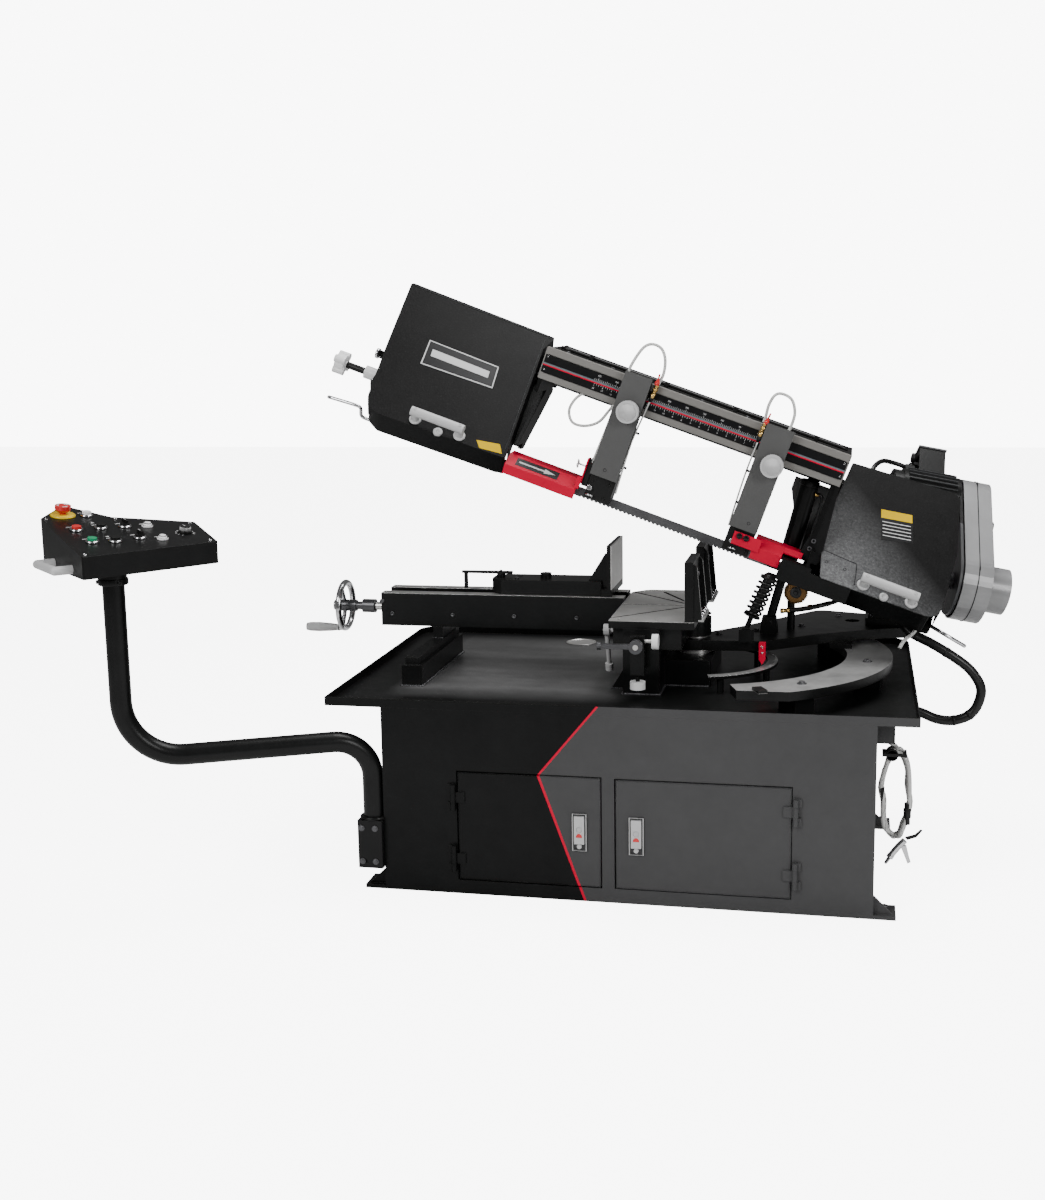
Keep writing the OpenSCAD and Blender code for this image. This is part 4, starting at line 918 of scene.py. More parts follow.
for i in range(5):
    u, drop = 3 * i, 11 * i
    part.prism(cover, [(-84 + u, 28 - drop), (-8 + u, 44 - drop), (-7 + u, 42 - drop),
                       (-83 + u, 26 - drop)], 60.4, 60.8)
part.done("print_white", "right_cover")

for side, u, p, radius in (("left", -1296, -214, 13), ("right", -18, -211, 12)):
    Piece(side + "_cover_lock").lathe(cover(u, p, COVER_FACE), COVER_OUT, [
        (-1, radius), (5, radius), (6.5, radius - 2), (6.5, 4), (4, 3.6), (4, 0.2)]).done(
        "pale_plastic", side + "_cover")
for side, feet, p in (("left", (-1370, -1238), -200), ("right", (-78, 54), -196)):
    Piece(side + "_handle_feet").lathes(
        [cover(u, p, COVER_FACE) for u in feet], COVER_OUT,
        [(-0.5, 17), (3, 17), (5, 14.5), (6, 12.2)]).capscrews(
        [cover(u, p, 107) for u in feet], COVER_OUT, 4.5, 1.6).done(
        "pale_plastic", side + "_cover")

Piece("left_cover_seam").tube(
    along(cover, (-1574, 252, 60.4), (-1400, 247, 60.4), (-1140, 240.5, 60.4)), 1.1, 8, 6).tube(
    along(cover, (-1139, 240, 60.4), (-1150, 196, 60.4), (-1104, -205, 60.4)), 0.9, 8, 6).done(
    "dark_grey", "left_cover")
Piece("right_cover_seam").tube(
    along(cover, (-205, -132, 60.2), (-150, -136, 60.2), (-112, -138, 60.2)), 0.9, 8, 6).tube(
    along(cover, (-111, -138, 60.2), (-104, -175, 60.2), (-100, -205, 60.2)), 0.9, 8, 6).lathes(
    along(cover, (-188, -166, COVER_FACE), (-136, -168, COVER_FACE)), COVER_OUT,
    [(-0.5, 4.4), (0.6, 4.4), (0.6, 3), (-1.4, 2.8)], 18).done(
    "scale_black", "right_cover", slot="texture_black")

# dark skirt under the left end of the right cover, with an upper lip
Piece("throat_skirt").prism(
    facing(bow, -74), [(-299, 16), (-299, -42), (-104, -42), (-104, 4), (-218, 4), (-218, 16)],
    -1.5, 1.5).done("gloss_black", "head", 0.5)
Piece("throat_skirt_lip").box(bow, -299.5, -222, -76, -40, 15, 17.5).done(
    "texture_black", "head", 0.6)

# ---------- balance spring ----------
SPRING_LOW, SPRING_HIGH = along(world, (296, -66, 677.5), (339.8, -66, 778.4))
SPRING_TURNS = 7.5
spring_way = (SPRING_HIGH - SPRING_LOW).normalized()
spring_length = (SPRING_HIGH - SPRING_LOW).length
spring_axes = cross_axes(spring_way)
coil = []
coil_steps = int(SPRING_TURNS * 22)
for i in range(coil_steps + 1):
    t = i / coil_steps
    radius = 0.0205 if 0.06 < t < 0.94 else 0.019
    coil.append(around(SPRING_LOW + spring_way * (spring_length * t), *spring_axes, radius,
                       2 * math.pi * SPRING_TURNS * t))
made = Piece("coil_spring").tube(coil, 3.4, 10, 1).done("spring_black")
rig.replaces(made, "balance_spring")
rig.blend(made, "swivel", "head", SPRING_LOW, SPRING_HIGH)
made = Piece("spring_core").tube(
    [SPRING_LOW + spring_way * 0.002, SPRING_LOW.lerp(SPRING_HIGH, 0.5),
     SPRING_HIGH - spring_way * 0.002], 13, 20, 14).done("black_rubber")
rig.blend(made, "swivel", "head", SPRING_LOW, SPRING_HIGH)
Piece("spring_lower_rod").cyl(SPRING_LOW + spring_way * 0.003, world(281, -66, 640), 7).lathe(
    SPRING_LOW - spring_way * 0.004, spring_way, [(0, 23.5), (5, 23.5), (6, 20)]).lathes(
    along(world, (281, -81, 634), (281, -62, 634)), BACK, [(0, 13), (9, 13), (10, 11)], 24).done(
    "gloss_black", "swivel", 0.4)
Piece("spring_upper_seat").lathe(
    SPRING_HIGH - spring_way * 0.003, spring_way,
    [(0, 23.5), (5, 23.5), (6, 18), (14, 12)]).done("gloss_black", "head", 0.4)

# ---------- feed cylinder ----------
CYLINDER_LOW, CYLINDER_HIGH = along(world, (335, 61, 634), (418, 61, 940))
cylinder_way = (CYLINDER_HIGH - CYLINDER_LOW).normalized()
CYLINDER_LENGTH = (CYLINDER_HIGH - CYLINDER_LOW).length * 1000


def from_cylinder_top(distance):
    return CYLINDER_LOW + cylinder_way * ((CYLINDER_LENGTH + distance) / 1000)


Piece("cylinder_collars").lathe(
    from_cylinder_top(-136), cylinder_way,
    [(0, 18), (0.5, 27), (12, 27), (13, 25.4)], 36).lathe(
    from_cylinder_top(76), cylinder_way,
    [(0, 25.4), (1, 27), (14, 27), (16, 22)], 36).done("gloss_black", "feed_cylinder", 0.3)
Piece("cylinder_ports").lathes(
    [from_cylinder_top(distance) + Vector((0.022, -0.012, 0)) for distance in (-108, 52)],
    Vector((0.85, -0.5, 0)), [(0, 6), (8, 6), (8.5, 4.5), (14, 4.5)], 6).done(
    "brass_fitting", "feed_cylinder")
# distance from the cylinder's top, offset
Piece("cylinder_hose").tube([from_cylinder_top(distance) + world(*offset)
                             for distance, offset in (
    (-108, (32, -18, 0)), (-100, (46, -24, 8)), (-40, (44, -20, 0)), (40, (44, -22, 0)),
    (52, (34, -18, 0)))], 4).done("black_rubber", "feed_cylinder")

# ---------- wire brush and its drive shaft ----------
BRUSH_CENTRE = bow(-233, -15, -66)
part = Piece("brush_bristles").lathe(
    BRUSH_CENTRE - BACK * 0.010, BACK,
    [(0, 12), (0, 24), (4, 29), (10, 31), (16, 29), (20, 24), (20, 12)], 48)
for i in range(620):
    angle = dice.random() * 2 * math.pi
    y = dice.uniform(-10, 10)
    radius = dice.uniform(31.5, 33.8) - abs(y) * 0.08
    tip_angle = angle + dice.uniform(-0.07, 0.07)
    tip_y = y * dice.uniform(0.9, 1.15)
    root = around(BRUSH_CENTRE, BOW_U, BOW_W, 0.021, angle) + BACK * (y / 1000)
    tip = around(BRUSH_CENTRE, BOW_U, BOW_W, radius / 1000, tip_angle) + BACK * (tip_y / 1000)
    part.cyl(root, tip, 0.5, 0.35, 4)
made = part.done("brush_wire", "wire_brush")
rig.replaces(made, "wire_brush")
Piece("brush_hub").lathe(
    BRUSH_CENTRE - BACK * 0.014, BACK,
    [(0, 6.2), (0, 13), (2, 15), (3.5, 15.5), (24.5, 15.5), (26, 15), (28, 13), (28, 6.2)],
    32).lathe(BRUSH_CENTRE - BACK * 0.0188, BACK, [(0, 4), (1, 5), (5, 5)], 6).done(
    "cast_grey", "wire_brush")
Piece("brush_drive_shaft").tube(
    along(world, (500, 30, 697), (470, 12, 692), (440, 6, 686), (415, 4, 682), (392, 4, 679)),
    7).tube(along(world, (500, 30, 697), (520, 60, 700), (545, 100, 720), (560, 130, 760)),
            6).done("black_rubber", "head")
Piece("brush_shaft_ferrule").lathe(
    world(393, 4, 679), world(-26, 0, -2),
    [(0, 7.6), (8, 7.6), (9, 6), (16, 6), (17, 7), (25, 7), (26, 5)], 18).lathe(
    world(452, 9, 688.5), world(-12, -1, -2), [(0, 8.2), (12, 8.2)], 16).done(
    "brass_fitting", "head")

# ---------- inner plate and slanted tie by the throat ----------
Piece("throat_inner_plate").prism(
    facing(bow, 108), [(-345, 214), (-243, 214), (-243, 22), (-262, 16), (-276, 24),
                       (-300, 90), (-345, 180)], 0, 5).done("grey_paint", "head", 0.6)
Piece("slanted_tie").prism(
    facing(bow, -16), [(-252, 239), (-226, 239), (-226, 228), (-213, 120), (-203, 40),
                       (-208, 22), (-258, 22), (-262, 36), (-246, 140)], -6, 0).done(
    "gloss_black", "head", 0.6)
Piece("slanted_tie_bolts").capscrews(
    along(bow, (-239, -22, 81), (-242, -22, 58)), FRONT, 6.5, 3).done("dark_steel", "head")

# ---------- top of the beam ----------
Piece("beam_bolts").hexbolts(
    [bow(u, 20, 325) for u in range(-1040, -260, 130)], BOW_W, 6, 4).done("dark_steel", "head")
Piece("beam_cable").tube(
    along(bow, (-240, 60, 333), (-420, 70, 331.5), (-640, 66, 332), (-860, 72, 331.5),
          (-1070, 66, 331)), 5, 10).done("black_rubber", "head")
part = Piece("beam_cable_clips")
for u in (-330, -560, -760, -980):
    part.box(bow, u - 6, u + 6, 58, 80, 324.5, 338.5)
part.done("black_plastic", "head", 1.2)

# ---------- rod and blade tension at the left end, rod at the right end ----------
Piece("left_end_rod").tube(
    along(cover, (-1632, -203, 22), (-1590, -201, 24), (-1548, -199, 25), (-1538, -198, 20),
          (-1536, -198, 10), (-1536, -198, -8), (-1533, -198, -17), (-1524, -198, -20),
          (-1500, -198, -20)), 5, 14, 4).ball(cover(-1632, -203, 22), 5).done("chrome", "head")
Piece("tension_bracket").box(cover, -1566, -1544, -76, 28, -78, -20).done(
    "gloss_black", "head", 2)
Piece("tension_nut").hexbolts([cover(-1566, DRIVE_P, -45)], -BOW_U, 15, 10).hexbolts(
    along(cover, (-1566, -60, -66), (-1566, 12, -66), (-1566, -60, -30), (-1566, 12, -30)),
    -BOW_U, 5, 4).done("chrome", "head")
Piece("tension_gauge").lathe(
    cover(-1578, 34, -20), -BOW_U, [(-10, 12), (8, 12), (9, 15), (17, 15), (18, 13)]).done(
    "chrome", "head")
Piece("tension_knob_cap").lathe(
    cover(-1694, DRIVE_P, -45), -BOW_U, [(-2, 15), (1.5, 14), (2.2, 10), (2.2, 0.2)]).done(
    "white_plastic", "tension_handle", slot="pale_plastic")
Piece("right_rod").cyl(world(765, 60, 636), world(857, 60, 582), 5.5).ball(
    world(857, 60, 582), 5.6).done("chrome", "head")

# ---------- motor ----------
MOTOR_B = 282  # b of the motor shaft
FIN_ROOT, FIN_TIP = 65, 72
part = Piece("motor_fins")
for i in range(28):
    angle = 2 * math.pi * i / 28
    if math.cos(angle) > 0.8:  # no fins under the terminal box
        continue
    outline = [gear_round(a, MOTOR_B, radius, angle) for a, radius in (
        (52, FIN_ROOT), (190, FIN_ROOT), (190, FIN_TIP), (52, FIN_TIP))]
    half = gear(0, -math.sin(angle) * 1.3, math.cos(angle) * 1.3) - gear(0, 0, 0)
    part.block([corner + side * half for side in (-1, 1) for corner in outline], FIN_FACES)
part.done("dark_grey", "head")
part = Piece("motor_fan_grille")
for radius in (14, 24, 34, 44, 54):
    part.lathe(gear(13.5, MOTOR_B, 0), -GEAR_AXIS,
               [(0, radius), (1.4, radius), (1.4, radius - 3), (0, radius - 3)], 40)
for i in range(8):
    part.cyl(gear(13, MOTOR_B, 0), gear_round(13, MOTOR_B, 56, math.pi * i / 4), 1.6, count=8)
part.done("black_plastic", "head", slot="gloss_black")

LID_TOP = MOTOR_B + 148
Piece("terminal_box_lid").box(gear, 82, 163, LID_TOP - 6, LID_TOP, -41, 41).capscrews(
    along(gear, (88, LID_TOP, -35), (157, LID_TOP, -35), (88, LID_TOP, 35),
          (157, LID_TOP, 35)), GEAR_B, 4, 2).done("motor_grey", "head", 2)
Piece("motor_gland").lathe(
    gear(85, 372, 0), -GEAR_AXIS, [(0, 13), (8, 13), (9, 16), (20, 16), (21, 11), (30, 10)],
    16).lathe(gear(85, 395, 20), -GEAR_AXIS, [(0, 11), (8, 11), (9, 14), (18, 14), (19, 9)],
              16).done("black_plastic", "head")
Piece("motor_cable").tube(
    along(gear, (58, 372, 0), (20, 376, 4), (-20, 360, 20), (-50, 300, 40), (-60, 200, 30)),
    7).done("black_rubber", "head")

# ---------- belt cover ----------
BELT_FACE = 287  # a of its outer face
Piece("belt_cover_screws").capscrews(
    [gear_round(BELT_FACE, 0, 90, math.radians(100 + i * 160 / 7)) for i in range(8)],
    GEAR_AXIS, 5, 2).capscrews(
    along(gear, (BELT_FACE, 270, 48), (BELT_FACE, 270, -48), (BELT_FACE, 330, 0)),
    GEAR_AXIS, 5, 2).done("dark_steel", "head")
# round the big pulley's end, then round the motor's
seam = [gear_round(247, 0, 100.3, math.radians(degrees)) for degrees in range(84, 277, 8)]
seam += [gear_round(247, MOTOR_B, 65.4, math.radians(degrees)) for degrees in range(-80, 81, 10)]
Piece("belt_cover_seam").tube(seam, 1.3, 8, 3, closed=True).done(
    "scale_black", "head", slot="grey_paint")
Piece("belt_cover_cap").lathe(
    gear(348, 0, 0), GEAR_AXIS,
    [(-1, 60), (1, 60), (3, 56), (3, 30), (1.4, 29), (1.4, 0.3)], 44).capscrews(
    [gear_round(350.6, 0, 47, math.radians(degrees)) for degrees in (30, 150, 270)],
    GEAR_AXIS, 4.5, 2).done("grey_paint", "head", 0.4)
Piece("belt_cover_knobs").lathe(
    gear(BELT_FACE, 200, 20), GEAR_AXIS, [(0, 6), (6, 6), (7, 14), (18, 14), (20, 11)],
    24).done("black_plastic", "head")

# ---------- conduit from the head to the cabinet ----------
CONDUIT = along(
    world, (690, 110, 640), (718, 84, 610), (770, 66, 586), (821, 60, 557), (868, 60, 523),
    (895, 60, 489), (905, 60, 462), (902, 60, 434), (889, 60, 404), (866, 60, 384),
    (829, 60, 373), (789, 60, 377), (748, 60, 393), (690, 60, 408), (622, 60, 414))
MIDDLE, STEPS = 5, 10  # index of the point where the halves meet, steps per point
conduit_path = spline(CONDUIT, STEPS)
cut = STEPS * MIDDLE


def blend_upper(made):
    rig.blend(made, "swivel", "head", CONDUIT[MIDDLE], CONDUIT[0])


def blend_lower(made):
    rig.blend(made, "base", "swivel", world(650, 60, 414), CONDUIT[MIDDLE])


def conduit_ties(name, *offsets):
    """Bands round the conduit, at path steps counted from the cut."""
    part = Piece(name)
    for i in offsets:
        heading = (conduit_path[cut + i + 1] - conduit_path[cut + i - 1]).normalized()
        part.lathe(conduit_path[cut + i] - heading * 0.004, heading, [(0, 14.4), (8, 14.4)], 24)
    return part.done("black_plastic")


blend_upper(Piece("conduit_upper").tube(conduit_path[:cut + 1], 13.5, 20, 1).done("black_rubber"))
blend_lower(Piece("conduit_lower").tube(conduit_path[cut:], 13.5, 20, 1).done("black_rubber"))
Piece("conduit_gland").lathe(
    world(624.5, 60, 414), RIGHT, [(0, 24), (8, 24), (9, 19), (22, 19), (23, 16)], 24).done(
    "black_plastic", "base")
blend_upper(conduit_ties("conduit_tie_upper", -22))
blend_lower(conduit_ties("conduit_tie_lower", 36, 48))
Piece("head_clear_hose").tube(
    along(world, (686, 40, 575), (700, 50, 596), (722, 60, 613), (742, 76, 640)), 5).done(
    "clear_hose", "head")

# ---------- spray hose and gun on the cabinet's right side ----------
LOOPS, LOOP_STEPS = 3, 18
hose = []
for i in range(LOOPS * LOOP_STEPS + 1):
    angle = 2 * math.pi * i / LOOP_STEPS + math.pi / 2
    t = i / (LOOPS * LOOP_STEPS)
    half_width = 33 + 4 * math.sin(2.1 * i)
    half_height = 112 + 7 * math.sin(1.3 * i)
    hose.append(world(672 + half_width * math.cos(angle) + 5 * math.sin(3 * t),
                      -352 + 30 * t + 3 * math.sin(1.7 * i), 282 + half_height * math.sin(angle)))
Piece("spray_hose").tube(hose, 6, 12, 3).tube(
    [hose[-1]] + along(world, (650, -330, 420), (640, -330, 452), (626, -330, 458)), 6, 12).tube(
    [hose[0]] + along(world, (700, -356, 372), (708, -360, 300), (704, -362, 232),
                      (688, -362, 180)), 6, 12).done("clear_hose", "base")

part = Piece("spray_hose_braid")
hose_path = spline(hose, 3)
for phase in (0, math.pi):
    thread = []
    for i in range(len(hose_path) - 1):
        axes = cross_axes((hose_path[i + 1] - hose_path[i]).normalized())
        thread.append(around(hose_path[i], *axes, 0.0062, i * 0.9 + phase))
    part.tube(thread, 0.5, 4, 1)
part.done("grey_paint", "base")

Piece("spray_hose_ties").lathe(
    world(664, -362, 386), BACK, [(0, 15), (40, 15), (40, 13), (0, 13)], 20).box(
    world, 640, 700, -364, -318, 383, 391).lathe(
    world(704, -362, 236), Vector((0.02, 0, -1)),
    [(-30, 7.2), (-16, 7.2), (-15, 9.5), (8, 9.5), (9, 7.2), (26, 7.2)], 12).done(
    "black_plastic", "base", 0.4)
GUN_PLANE = facing(world, -362)
Piece("spray_gun_body").tube(
    along(world, (668, -362, 128), (684, -362, 150), (700, -362, 168)), 8).lathe(
    world(668, -362, 128), world(-16, 0, -26),
    [(0, 9), (8, 9), (10, 5), (26, 4), (28, 2)], 16).prism(
    GUN_PLANE, [(690, 152), (704, 156), (712, 124), (716, 112), (708, 108), (700, 128)],
    -3, 3).done("chrome", "base", 0.6)
Piece("spray_gun_lever").prism(
    GUN_PLANE, [(700, 176), (706, 170), (728, 178), (742, 196), (738, 198), (724, 184)],
    -4, 4).prism(GUN_PLANE, [(636, 300), (648, 306), (642, 262)], -6, -3).done(
    "black_plastic", "base", 0.5)
Piece("hose_bracket_panel").box(world, 625, 669, -396.5, -394, 425, 489).box(
    world, 665, 669, -396.5, -300, 425, 489).capscrews(
    along(world, (640, -396.5, 440), (640, -396.5, 474)), FRONT, 4.5, 2).done(
    "cabinet_grey", "base", 0.6)

# ---------- control panel ----------
Piece("estop_ring").lathe(
    panel(106, 316), PANEL_OUT, [(0, 31.5), (3.5, 31.5), (5.4, 29), (5.4, 12)], 40).done(
    "yellow_plastic", "control_box")
Piece("panel_bezels").lathes(
    along(panel, (162, 298), (83, 195), (147, 192), (75, 97), (130, 85), (208, 184), (198, 89)),
    PANEL_OUT, [(0, 17), (3.5, 16.4), (6.2, 14.4), (6.2, 12.6), (1, 12.4)], 32).done(
    "chrome", "control_box")
Piece("panel_lamp_domes").lathes(
    along(panel, (261, 167), (245, 62)), PANEL_OUT,
    [(0, 14), (4.5, 14), (5, 11), (9, 10.6), (11.6, 7.5), (12.6, 3), (12.8, 0.2)]).done(
    "white_plastic", "control_box")

DIAL_A, DIAL_B = 324, 90  # centre of the speed knob
part = Piece("panel_marks")
# printed bars: centre a, centre b, width
for a, b, width in ((83, 224, 26), (147, 220, 22), (75, 124, 24), (130, 112, 20), (208, 212, 24),
                    (198, 116, 24), (162, 324, 26), (261, 190, 20), (245, 84, 20)):
    part.box(panel, a - width / 2, a + width / 2, b - 1.5, b + 1.5, 0.0, 0.5)
for i in range(11):  # dial ticks
    angle = math.radians(225 - 27 * i)
    cos, sin = math.cos(angle), math.sin(angle)
    part.block([panel(DIAL_A + r * cos + s * sin, DIAL_B + r * sin - s * cos, height)
                for height in (0.0, 0.6)
                for r, s in ((20, -0.8), (25, -0.8), (25, 0.8), (20, 0.8))])
for a, b, tip in ((147, 236, 9), (130, 128, -9)):  # triangles, one up and one down
    part.prism(panel, [(a - 5, b), (a + 5, b), (a, b + tip)], 0.0, 0.5)
part.done("print_white", "control_box")
Piece("panel_corner_screws").capscrews(
    along(panel, (14, 14), (350, 14), (376, 158), (146, 378), (54, 300), (216, 250)),
    PANEL_OUT, 5.2, 2.9).done("chrome", "control_box")

for name, a, b in (("selector_left", 208, 184), ("selector_right", 198, 89)):
    Piece(name + "_mark").box(panel, a - 0.9, a + 0.9, b - 2, b + 10, 19.8, 20.4).done(
        "print_white", name)
part = Piece("speed_knob_mark").box(
    panel, DIAL_A - 0.9, DIAL_A + 0.9, DIAL_B + 2, DIAL_B + 12.5, 17.3, 17.9)
for i in range(24):
    angle = 2 * math.pi * i / 24
    a, b = DIAL_A + 13 * math.cos(angle), DIAL_B + 13 * math.sin(angle)
    part.cyl(panel(a, b, 6.5), panel(a, b, 16.5), 0.8, count=6)
part.done("print_white", "speed_knob")
# curved arrow: radius, angle in radians
ARROW = ((11, 0), (15, 0), (15, 0.7), (16.6, 0.7), (13, 1.1), (9.4, 0.7), (11, 0.7))
part = Piece("estop_arrows")
for i in range(3):
    turn = 2 * math.pi * i / 3
    part.prism(panel, [(106 + radius * math.cos(turn + angle),
                        316 + radius * math.sin(turn + angle)) for radius, angle in ARROW],
               27.8, 28.4)
part.done("print_white", "estop_button")

# ---------- panel column ----------
part = Piece("panel_column_clamp").lathe(
    world(-1212.4, -745.4, 846), UP,
    [(0, 27.2), (0, 36), (1, 37), (14, 37), (15, 36), (15, 34.2)], 40)
for degrees in (200, 320):
    out = Vector((math.cos(math.radians(degrees)), math.sin(math.radians(degrees)), 0))
    part.capscrews([world(-1212.4, -745.4, 853) + out * 0.036], out, 5, 5)
part.done("gloss_black", "control_box", 0.3)
Piece("pendant_collar").lathe(
    world(-656, -464.5, 188), UP, [(0, 27.3), (0, 36), (8, 36), (10, 33), (10, 27.3)],
    40).done("gloss_black", "base")
Piece("socket_bolts").hexbolts(
    [world(x, -500, z) for x in (-680, -644) for z in (80, 170)], FRONT, 6, 4).done(
    "dark_steel", "base")

# ---------- doors and cabinet ----------
for side, x, z in (("left", -106, 185), ("right", 39.5, 182)):
    half_round = [(x + 8 * math.cos(math.pi * i / 10), z - 12 + 10 * math.sin(math.pi * i / 10))
                  for i in range(11)]
    Piece(side + "_latch_button").prism(facing(world, -490.5), half_round, -2, 1.5).done(
        "red_plastic", side + "_latch", 0.6)
    Piece(side + "_latch_frame").tube(
        [world(x + across * 17.5, -486.3, z + up * 48.5)
         for across, up in ((-1, -1), (1, -1), (1, 1), (-1, 1))],
        1.4, 8, 1, closed=True).done("pale_plastic", side + "_door")
# side, x range, top z, finish
for side, left, right, top, finish in (("right", -11.5, 422.5, 324.5, "cabinet_grey"),
                                       ("left", -421.5, -53.5, 326.5, "cabinet_split")):
    part = Piece(side + "_door_edge")
    corners = [world(x, -482.1, z)
               for x, z in ((left, 42.5), (right, 42.5), (right, top), (left, top))]
    for i in range(4):
        part.cyl(corners[i], corners[(i + 1) % 4], 0.9, count=8)
    part.done(finish, side + "_door")
part = Piece("foot_bolts")
for x, y in ((-652, -430), (652, -430), (-652, 270), (652, 270)):
    part.lathe(world(x, y, 10), UP, [(0, 12), (2, 12), (2, 6), (2, 6)], 24)
    part.lathe(world(x, y, 12), UP, [(0, 10), (8, 10), (9, 8)], 6)
part.done("dark_steel", "base")

# ---------- weld beads ----------
# x and y of the start, x and y of the end, z, radius
WELDS = (
    (-633, -254, -576, -254, 496, 4.2), (-575, -253, -575, 192, 496, 4.2),
    (-26, -263, 70, -263, 496, 4.2), (-27, -262, -27, -208, 496, 4.2),
    (71, -262, 71, -150, 496, 4.2), (-66, -201, -26, -201, 496, 3),
    (-66, -1, -26, -1, 496, 3), (-66, 119, -26, 119, 496, 3),
    (72, -151, 186, -151, 496, 4.2), (-618, 19, -590, 19, 573, 3),
)
part = Piece("weld_beads")
for x0, y0, x1, y1, z, radius in WELDS:
    part.bead(world(x0, y0, z), world(x1, y1, z), radius)
part.done("dark_steel", "base", slot="gloss_black")

# ---------- table and fixed jaws ----------
JAWS = ((-255, -88), (34, 201))  # y range of each fixed jaw
SWIVEL_X, SWIVEL_Y = 138, -15  # centre of the swivel ring and of the angle scale
Piece("table_bolts").capscrews(
    along(world, (-40, -235, 684), (60, -235, 684), (145, -235, 684), (-30, 205, 684),
          (60, 210, 684), (145, 210, 684)), UP, 4.3, 3).capscrews(
    [world(157, (y0 + y1) / 2 + shift, z)
     for y0, y1 in JAWS for z in (730, 800) for shift in (-50, 30)], RIGHT, 6, 5).hexbolts(
    [world(SWIVEL_X + 470 * math.cos(math.radians(degrees)),
           SWIVEL_Y + 470 * math.sin(math.radians(degrees)), 565) for degrees in (-50, -10, 30)],
    UP, 9, 6).done("dark_steel", "base")
part = Piece("jaw_edge_strips")
for (y0, y1), strips in zip(JAWS, ((-250, -104), (40, 184))):
    for y in strips:
        part.prism(facing(world, y), [(178.3, 691), (178.3, 704), (166.3, 832), (165.1, 832),
                                      (177.1, 704), (177.1, 691)], 0.8, 9.2)
    part.box(world, 170, 184, y0 + 4, y1 - 4, 690.4, 696)
part.done("ring_top", "base", 0.3)
part = Piece("jaw_foot_bolts")
for y0, _ in JAWS:
    part.capscrews([world(176, y0 + 30 + 36 * i, 696) for i in range(4)], UP, 6.5, 8)
    part.lathes([world(164, y0 + 50 + 60 * i, 697) for i in range(2)], UP,
                [(0, 9), (3, 9), (3.5, 6.5), (12, 6.5), (13, 5)], 20)
part.done("chrome", "base")

# ---------- angle scale and swivel ----------
part = Piece("scale_arc_marks")
for i in range(0, 106, 5):
    angle = math.radians(-60 + i)
    cos, sin = math.cos(angle), math.sin(angle)
    outer, inner = 225.5, 212 if i % 15 == 0 else 218
    corners = [world(SWIVEL_X + r * cos - s * sin, SWIVEL_Y + r * sin + s * cos, z)
               for z in (541.8, 542.4)
               for r, s in ((inner, -0.6), (outer, -0.6), (outer, 0.6), (inner, 0.6))]
    if all(corner.x >= 0.0 for corner in corners):
        part.block(corners)
part.done("print_white", "base")
Piece("pointer_screws").capscrews(
    along(world, (325, -86, 578), (325, -86, 594)), FRONT, 3.4, 2).done("chrome", "swivel")
Piece("swivel_bolts").hexbolts(
    along(world, (200, 20, 606), (300, 80, 606), (420, 160, 606), (520, 330, 606)),
    UP, 8, 6).capscrews(
    [world(x, y + 2.5, 636) for y in (187, 292) for x in (612, 690)], FRONT, 5, 3).done(
    "dark_steel", "swivel")
Piece("pivot_cap").lathe(
    world(PIVOT_X, 184, PIVOT_Z), FRONT,
    [(-2, 26), (4, 26), (6, 23), (6, 9), (4, 8.4), (4, 0.2)], 32).done("dark_steel", "swivel")

# ---------- vise and tray ----------
Piece("jaw_bolts").capscrews(
    [world(x, y, 742) for y in (70, 120) for x in (-160, -380)], UP, 6, 4).capscrews(
    [world(-114, y, z) for y in (60, 200) for z in (745, 815)], Vector((-1, 0, 0)), 6, 4).done(
    "dark_steel", "vise_jaw")
Piece("bed_bolts").capscrews(
    [world(x, 25, 640) for x in (-740, -560, -380, -200)], FRONT, 6, 3).lathe(
    world(-770, 25, 676), FRONT, [(0, 7), (3, 7), (4, 5)], 20).done("dark_steel", "base")
Piece("handwheel_hub_ring").lathe(
    world(-936, 95, 648), Vector((-1, 0, 0)), [(-1, 15), (3, 14), (4, 11), (4, 0.2)]).done(
    "chrome", "vise_handwheel")
Piece("tray_drain").lathe(
    world(-250, 380, 495), UP, [(0, 46), (1.6, 46), (1.6, 40), (0.4, 40)], 40).done(
    "machined_steel", "base")

# ---------- floor: matt white, and glowing for camera rays only ----------
FLOOR_HALF, FLOOR_Z = 14, -0.0015  # metres
bm = bmesh.new()
bm.faces.new([bm.verts.new((x * FLOOR_HALF, y * FLOOR_HALF, FLOOR_Z))
              for x, y in ((-1, -1), (1, -1), (1, 1), (-1, 1))])
floor_mesh = bpy.data.meshes.new("floor")
bm.to_mesh(floor_mesh)
bm.free()
floor = add_object("floor", floor_mesh)
floor_material = bpy.data.materials.new("floor")
floor_material.use_nodes = True
net = Graph(floor_material.node_tree)
matt = net.tree.nodes["Principled BSDF"]
matt.inputs["Base Color"].default_value = (0.88, 0.88, 0.88, 1)
matt.inputs["Roughness"].default_value = 0.9
matt.inputs["Specular IOR Level"].default_value = 0.1
glow = net.add("ShaderNodeEmission", {"Color": (1, 1, 1, 1), "Strength": 7.0})
no_glow = net.add("ShaderNodeEmission", {"Strength": 0.0})
to_camera = net.add("ShaderNodeLightPath").outputs["Is Camera Ray"]
chosen_glow = net.add("ShaderNodeMixShader", {
    0: to_camera, 1: no_glow.outputs[0], 2: glow.outputs[0]})
total = net.add("ShaderNodeAddShader", {0: matt.outputs[0], 1: chosen_glow.outputs[0]})
net.tree.links.new(total.outputs[0], net.tree.nodes["Material Output"].inputs[0])
floor_mesh.materials.append(floor_material)
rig.stage(floor)

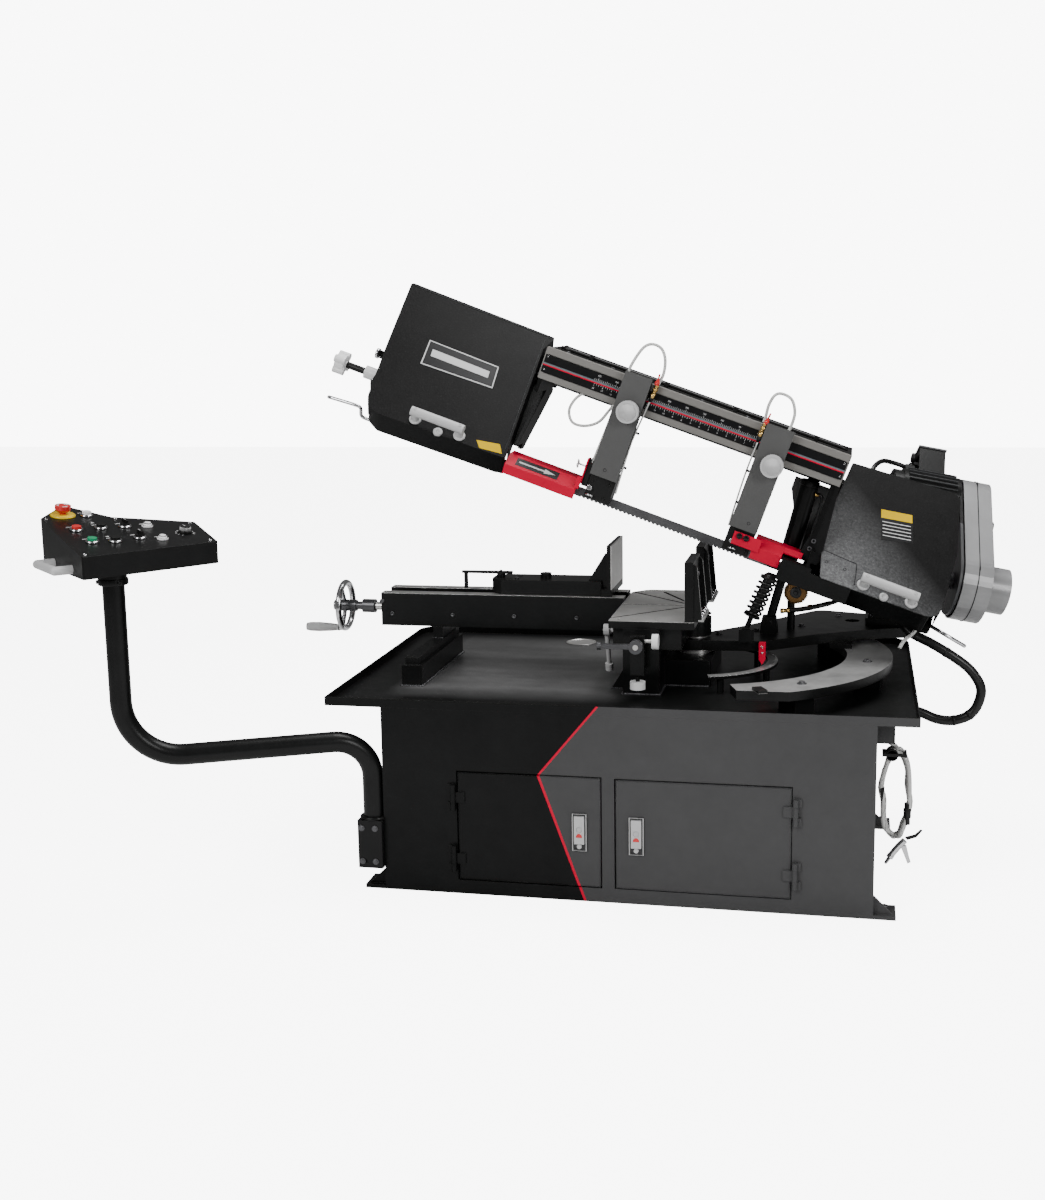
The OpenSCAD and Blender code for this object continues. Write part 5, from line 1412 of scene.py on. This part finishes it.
# ---------- camera ----------
# radians: turn about the vertical, downward pitch, roll about the view line
YAW, PITCH, ROLL = 0.2146172110860642, 0.17758364275249738, -0.01638057917493537
CAMERA_PLACE = (0.5565853831210039, -4.1566529889851045, 1.4558342168163324)
view = Vector((-math.sin(YAW) * math.cos(PITCH), math.cos(YAW) * math.cos(PITCH),
               -math.sin(PITCH)))
level = Vector((math.cos(YAW), math.sin(YAW), 0))
upright = level.cross(view)
camera_x = math.cos(ROLL) * level + math.sin(ROLL) * upright
camera_y = -math.sin(ROLL) * level + math.cos(ROLL) * upright
camera = add_object("camera", bpy.data.cameras.new("camera"))
placing = Matrix((camera_x, camera_y, -view)).transposed().to_4x4()
placing.translation = Vector(CAMERA_PLACE)
camera.matrix_world = placing
camera.data.sensor_width = 36
camera.data.lens = 46.03
camera.data.clip_end = 60
bpy.context.scene.camera = camera

# ---------- world: a bright backdrop for the camera, dim light for the rest ----------
studio = bpy.data.worlds.new("studio")
bpy.context.scene.world = studio
studio.use_nodes = True
net = Graph(studio.node_tree)
ambient = net.tree.nodes["Background"]
ambient.inputs["Color"].default_value = (1, 1, 1, 1)
ambient.inputs["Strength"].default_value = 0.16
backdrop = net.add("ShaderNodeBackground", {"Color": (1, 1, 1, 1), "Strength": 9.0})
to_camera = net.add("ShaderNodeLightPath").outputs["Is Camera Ray"]
sky = net.add("ShaderNodeMixShader", {
    0: to_camera, 1: ambient.outputs[0], 2: backdrop.outputs[0]})
net.tree.links.new(sky.outputs[0], net.tree.nodes["World Output"].inputs[0])


# ---------- lights ----------
def area_light(name, place, target, size, power):
    """Square light: places and size in metres, power in watts."""
    light = bpy.data.lights.new(name, "AREA")
    light.size = size
    light.energy = power
    lamp = add_object(name, light)
    lamp.location = place
    lamp.rotation_mode = "QUATERNION"
    lamp.rotation_quaternion = (Vector(target) - Vector(place)).to_track_quat("-Z", "Y")


area_light("key", place=(-2.2, -3.6, 3.0), target=(0, 0, 0.7), size=1.8, power=125)
area_light("top", place=(0.7, 0.5, 4.2), target=(0.2, 0, 0.8), size=2.2, power=165)
area_light("fill", place=(3.2, -3.0, 2.4), target=(0.4, 0, 0.8), size=1.6, power=90)

low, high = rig.bounds()
with open("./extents.json", "w") as file:
    json.dump({"cad": [list(cad_low), list(cad_high)], "visual": [list(low), list(high)]}, file)
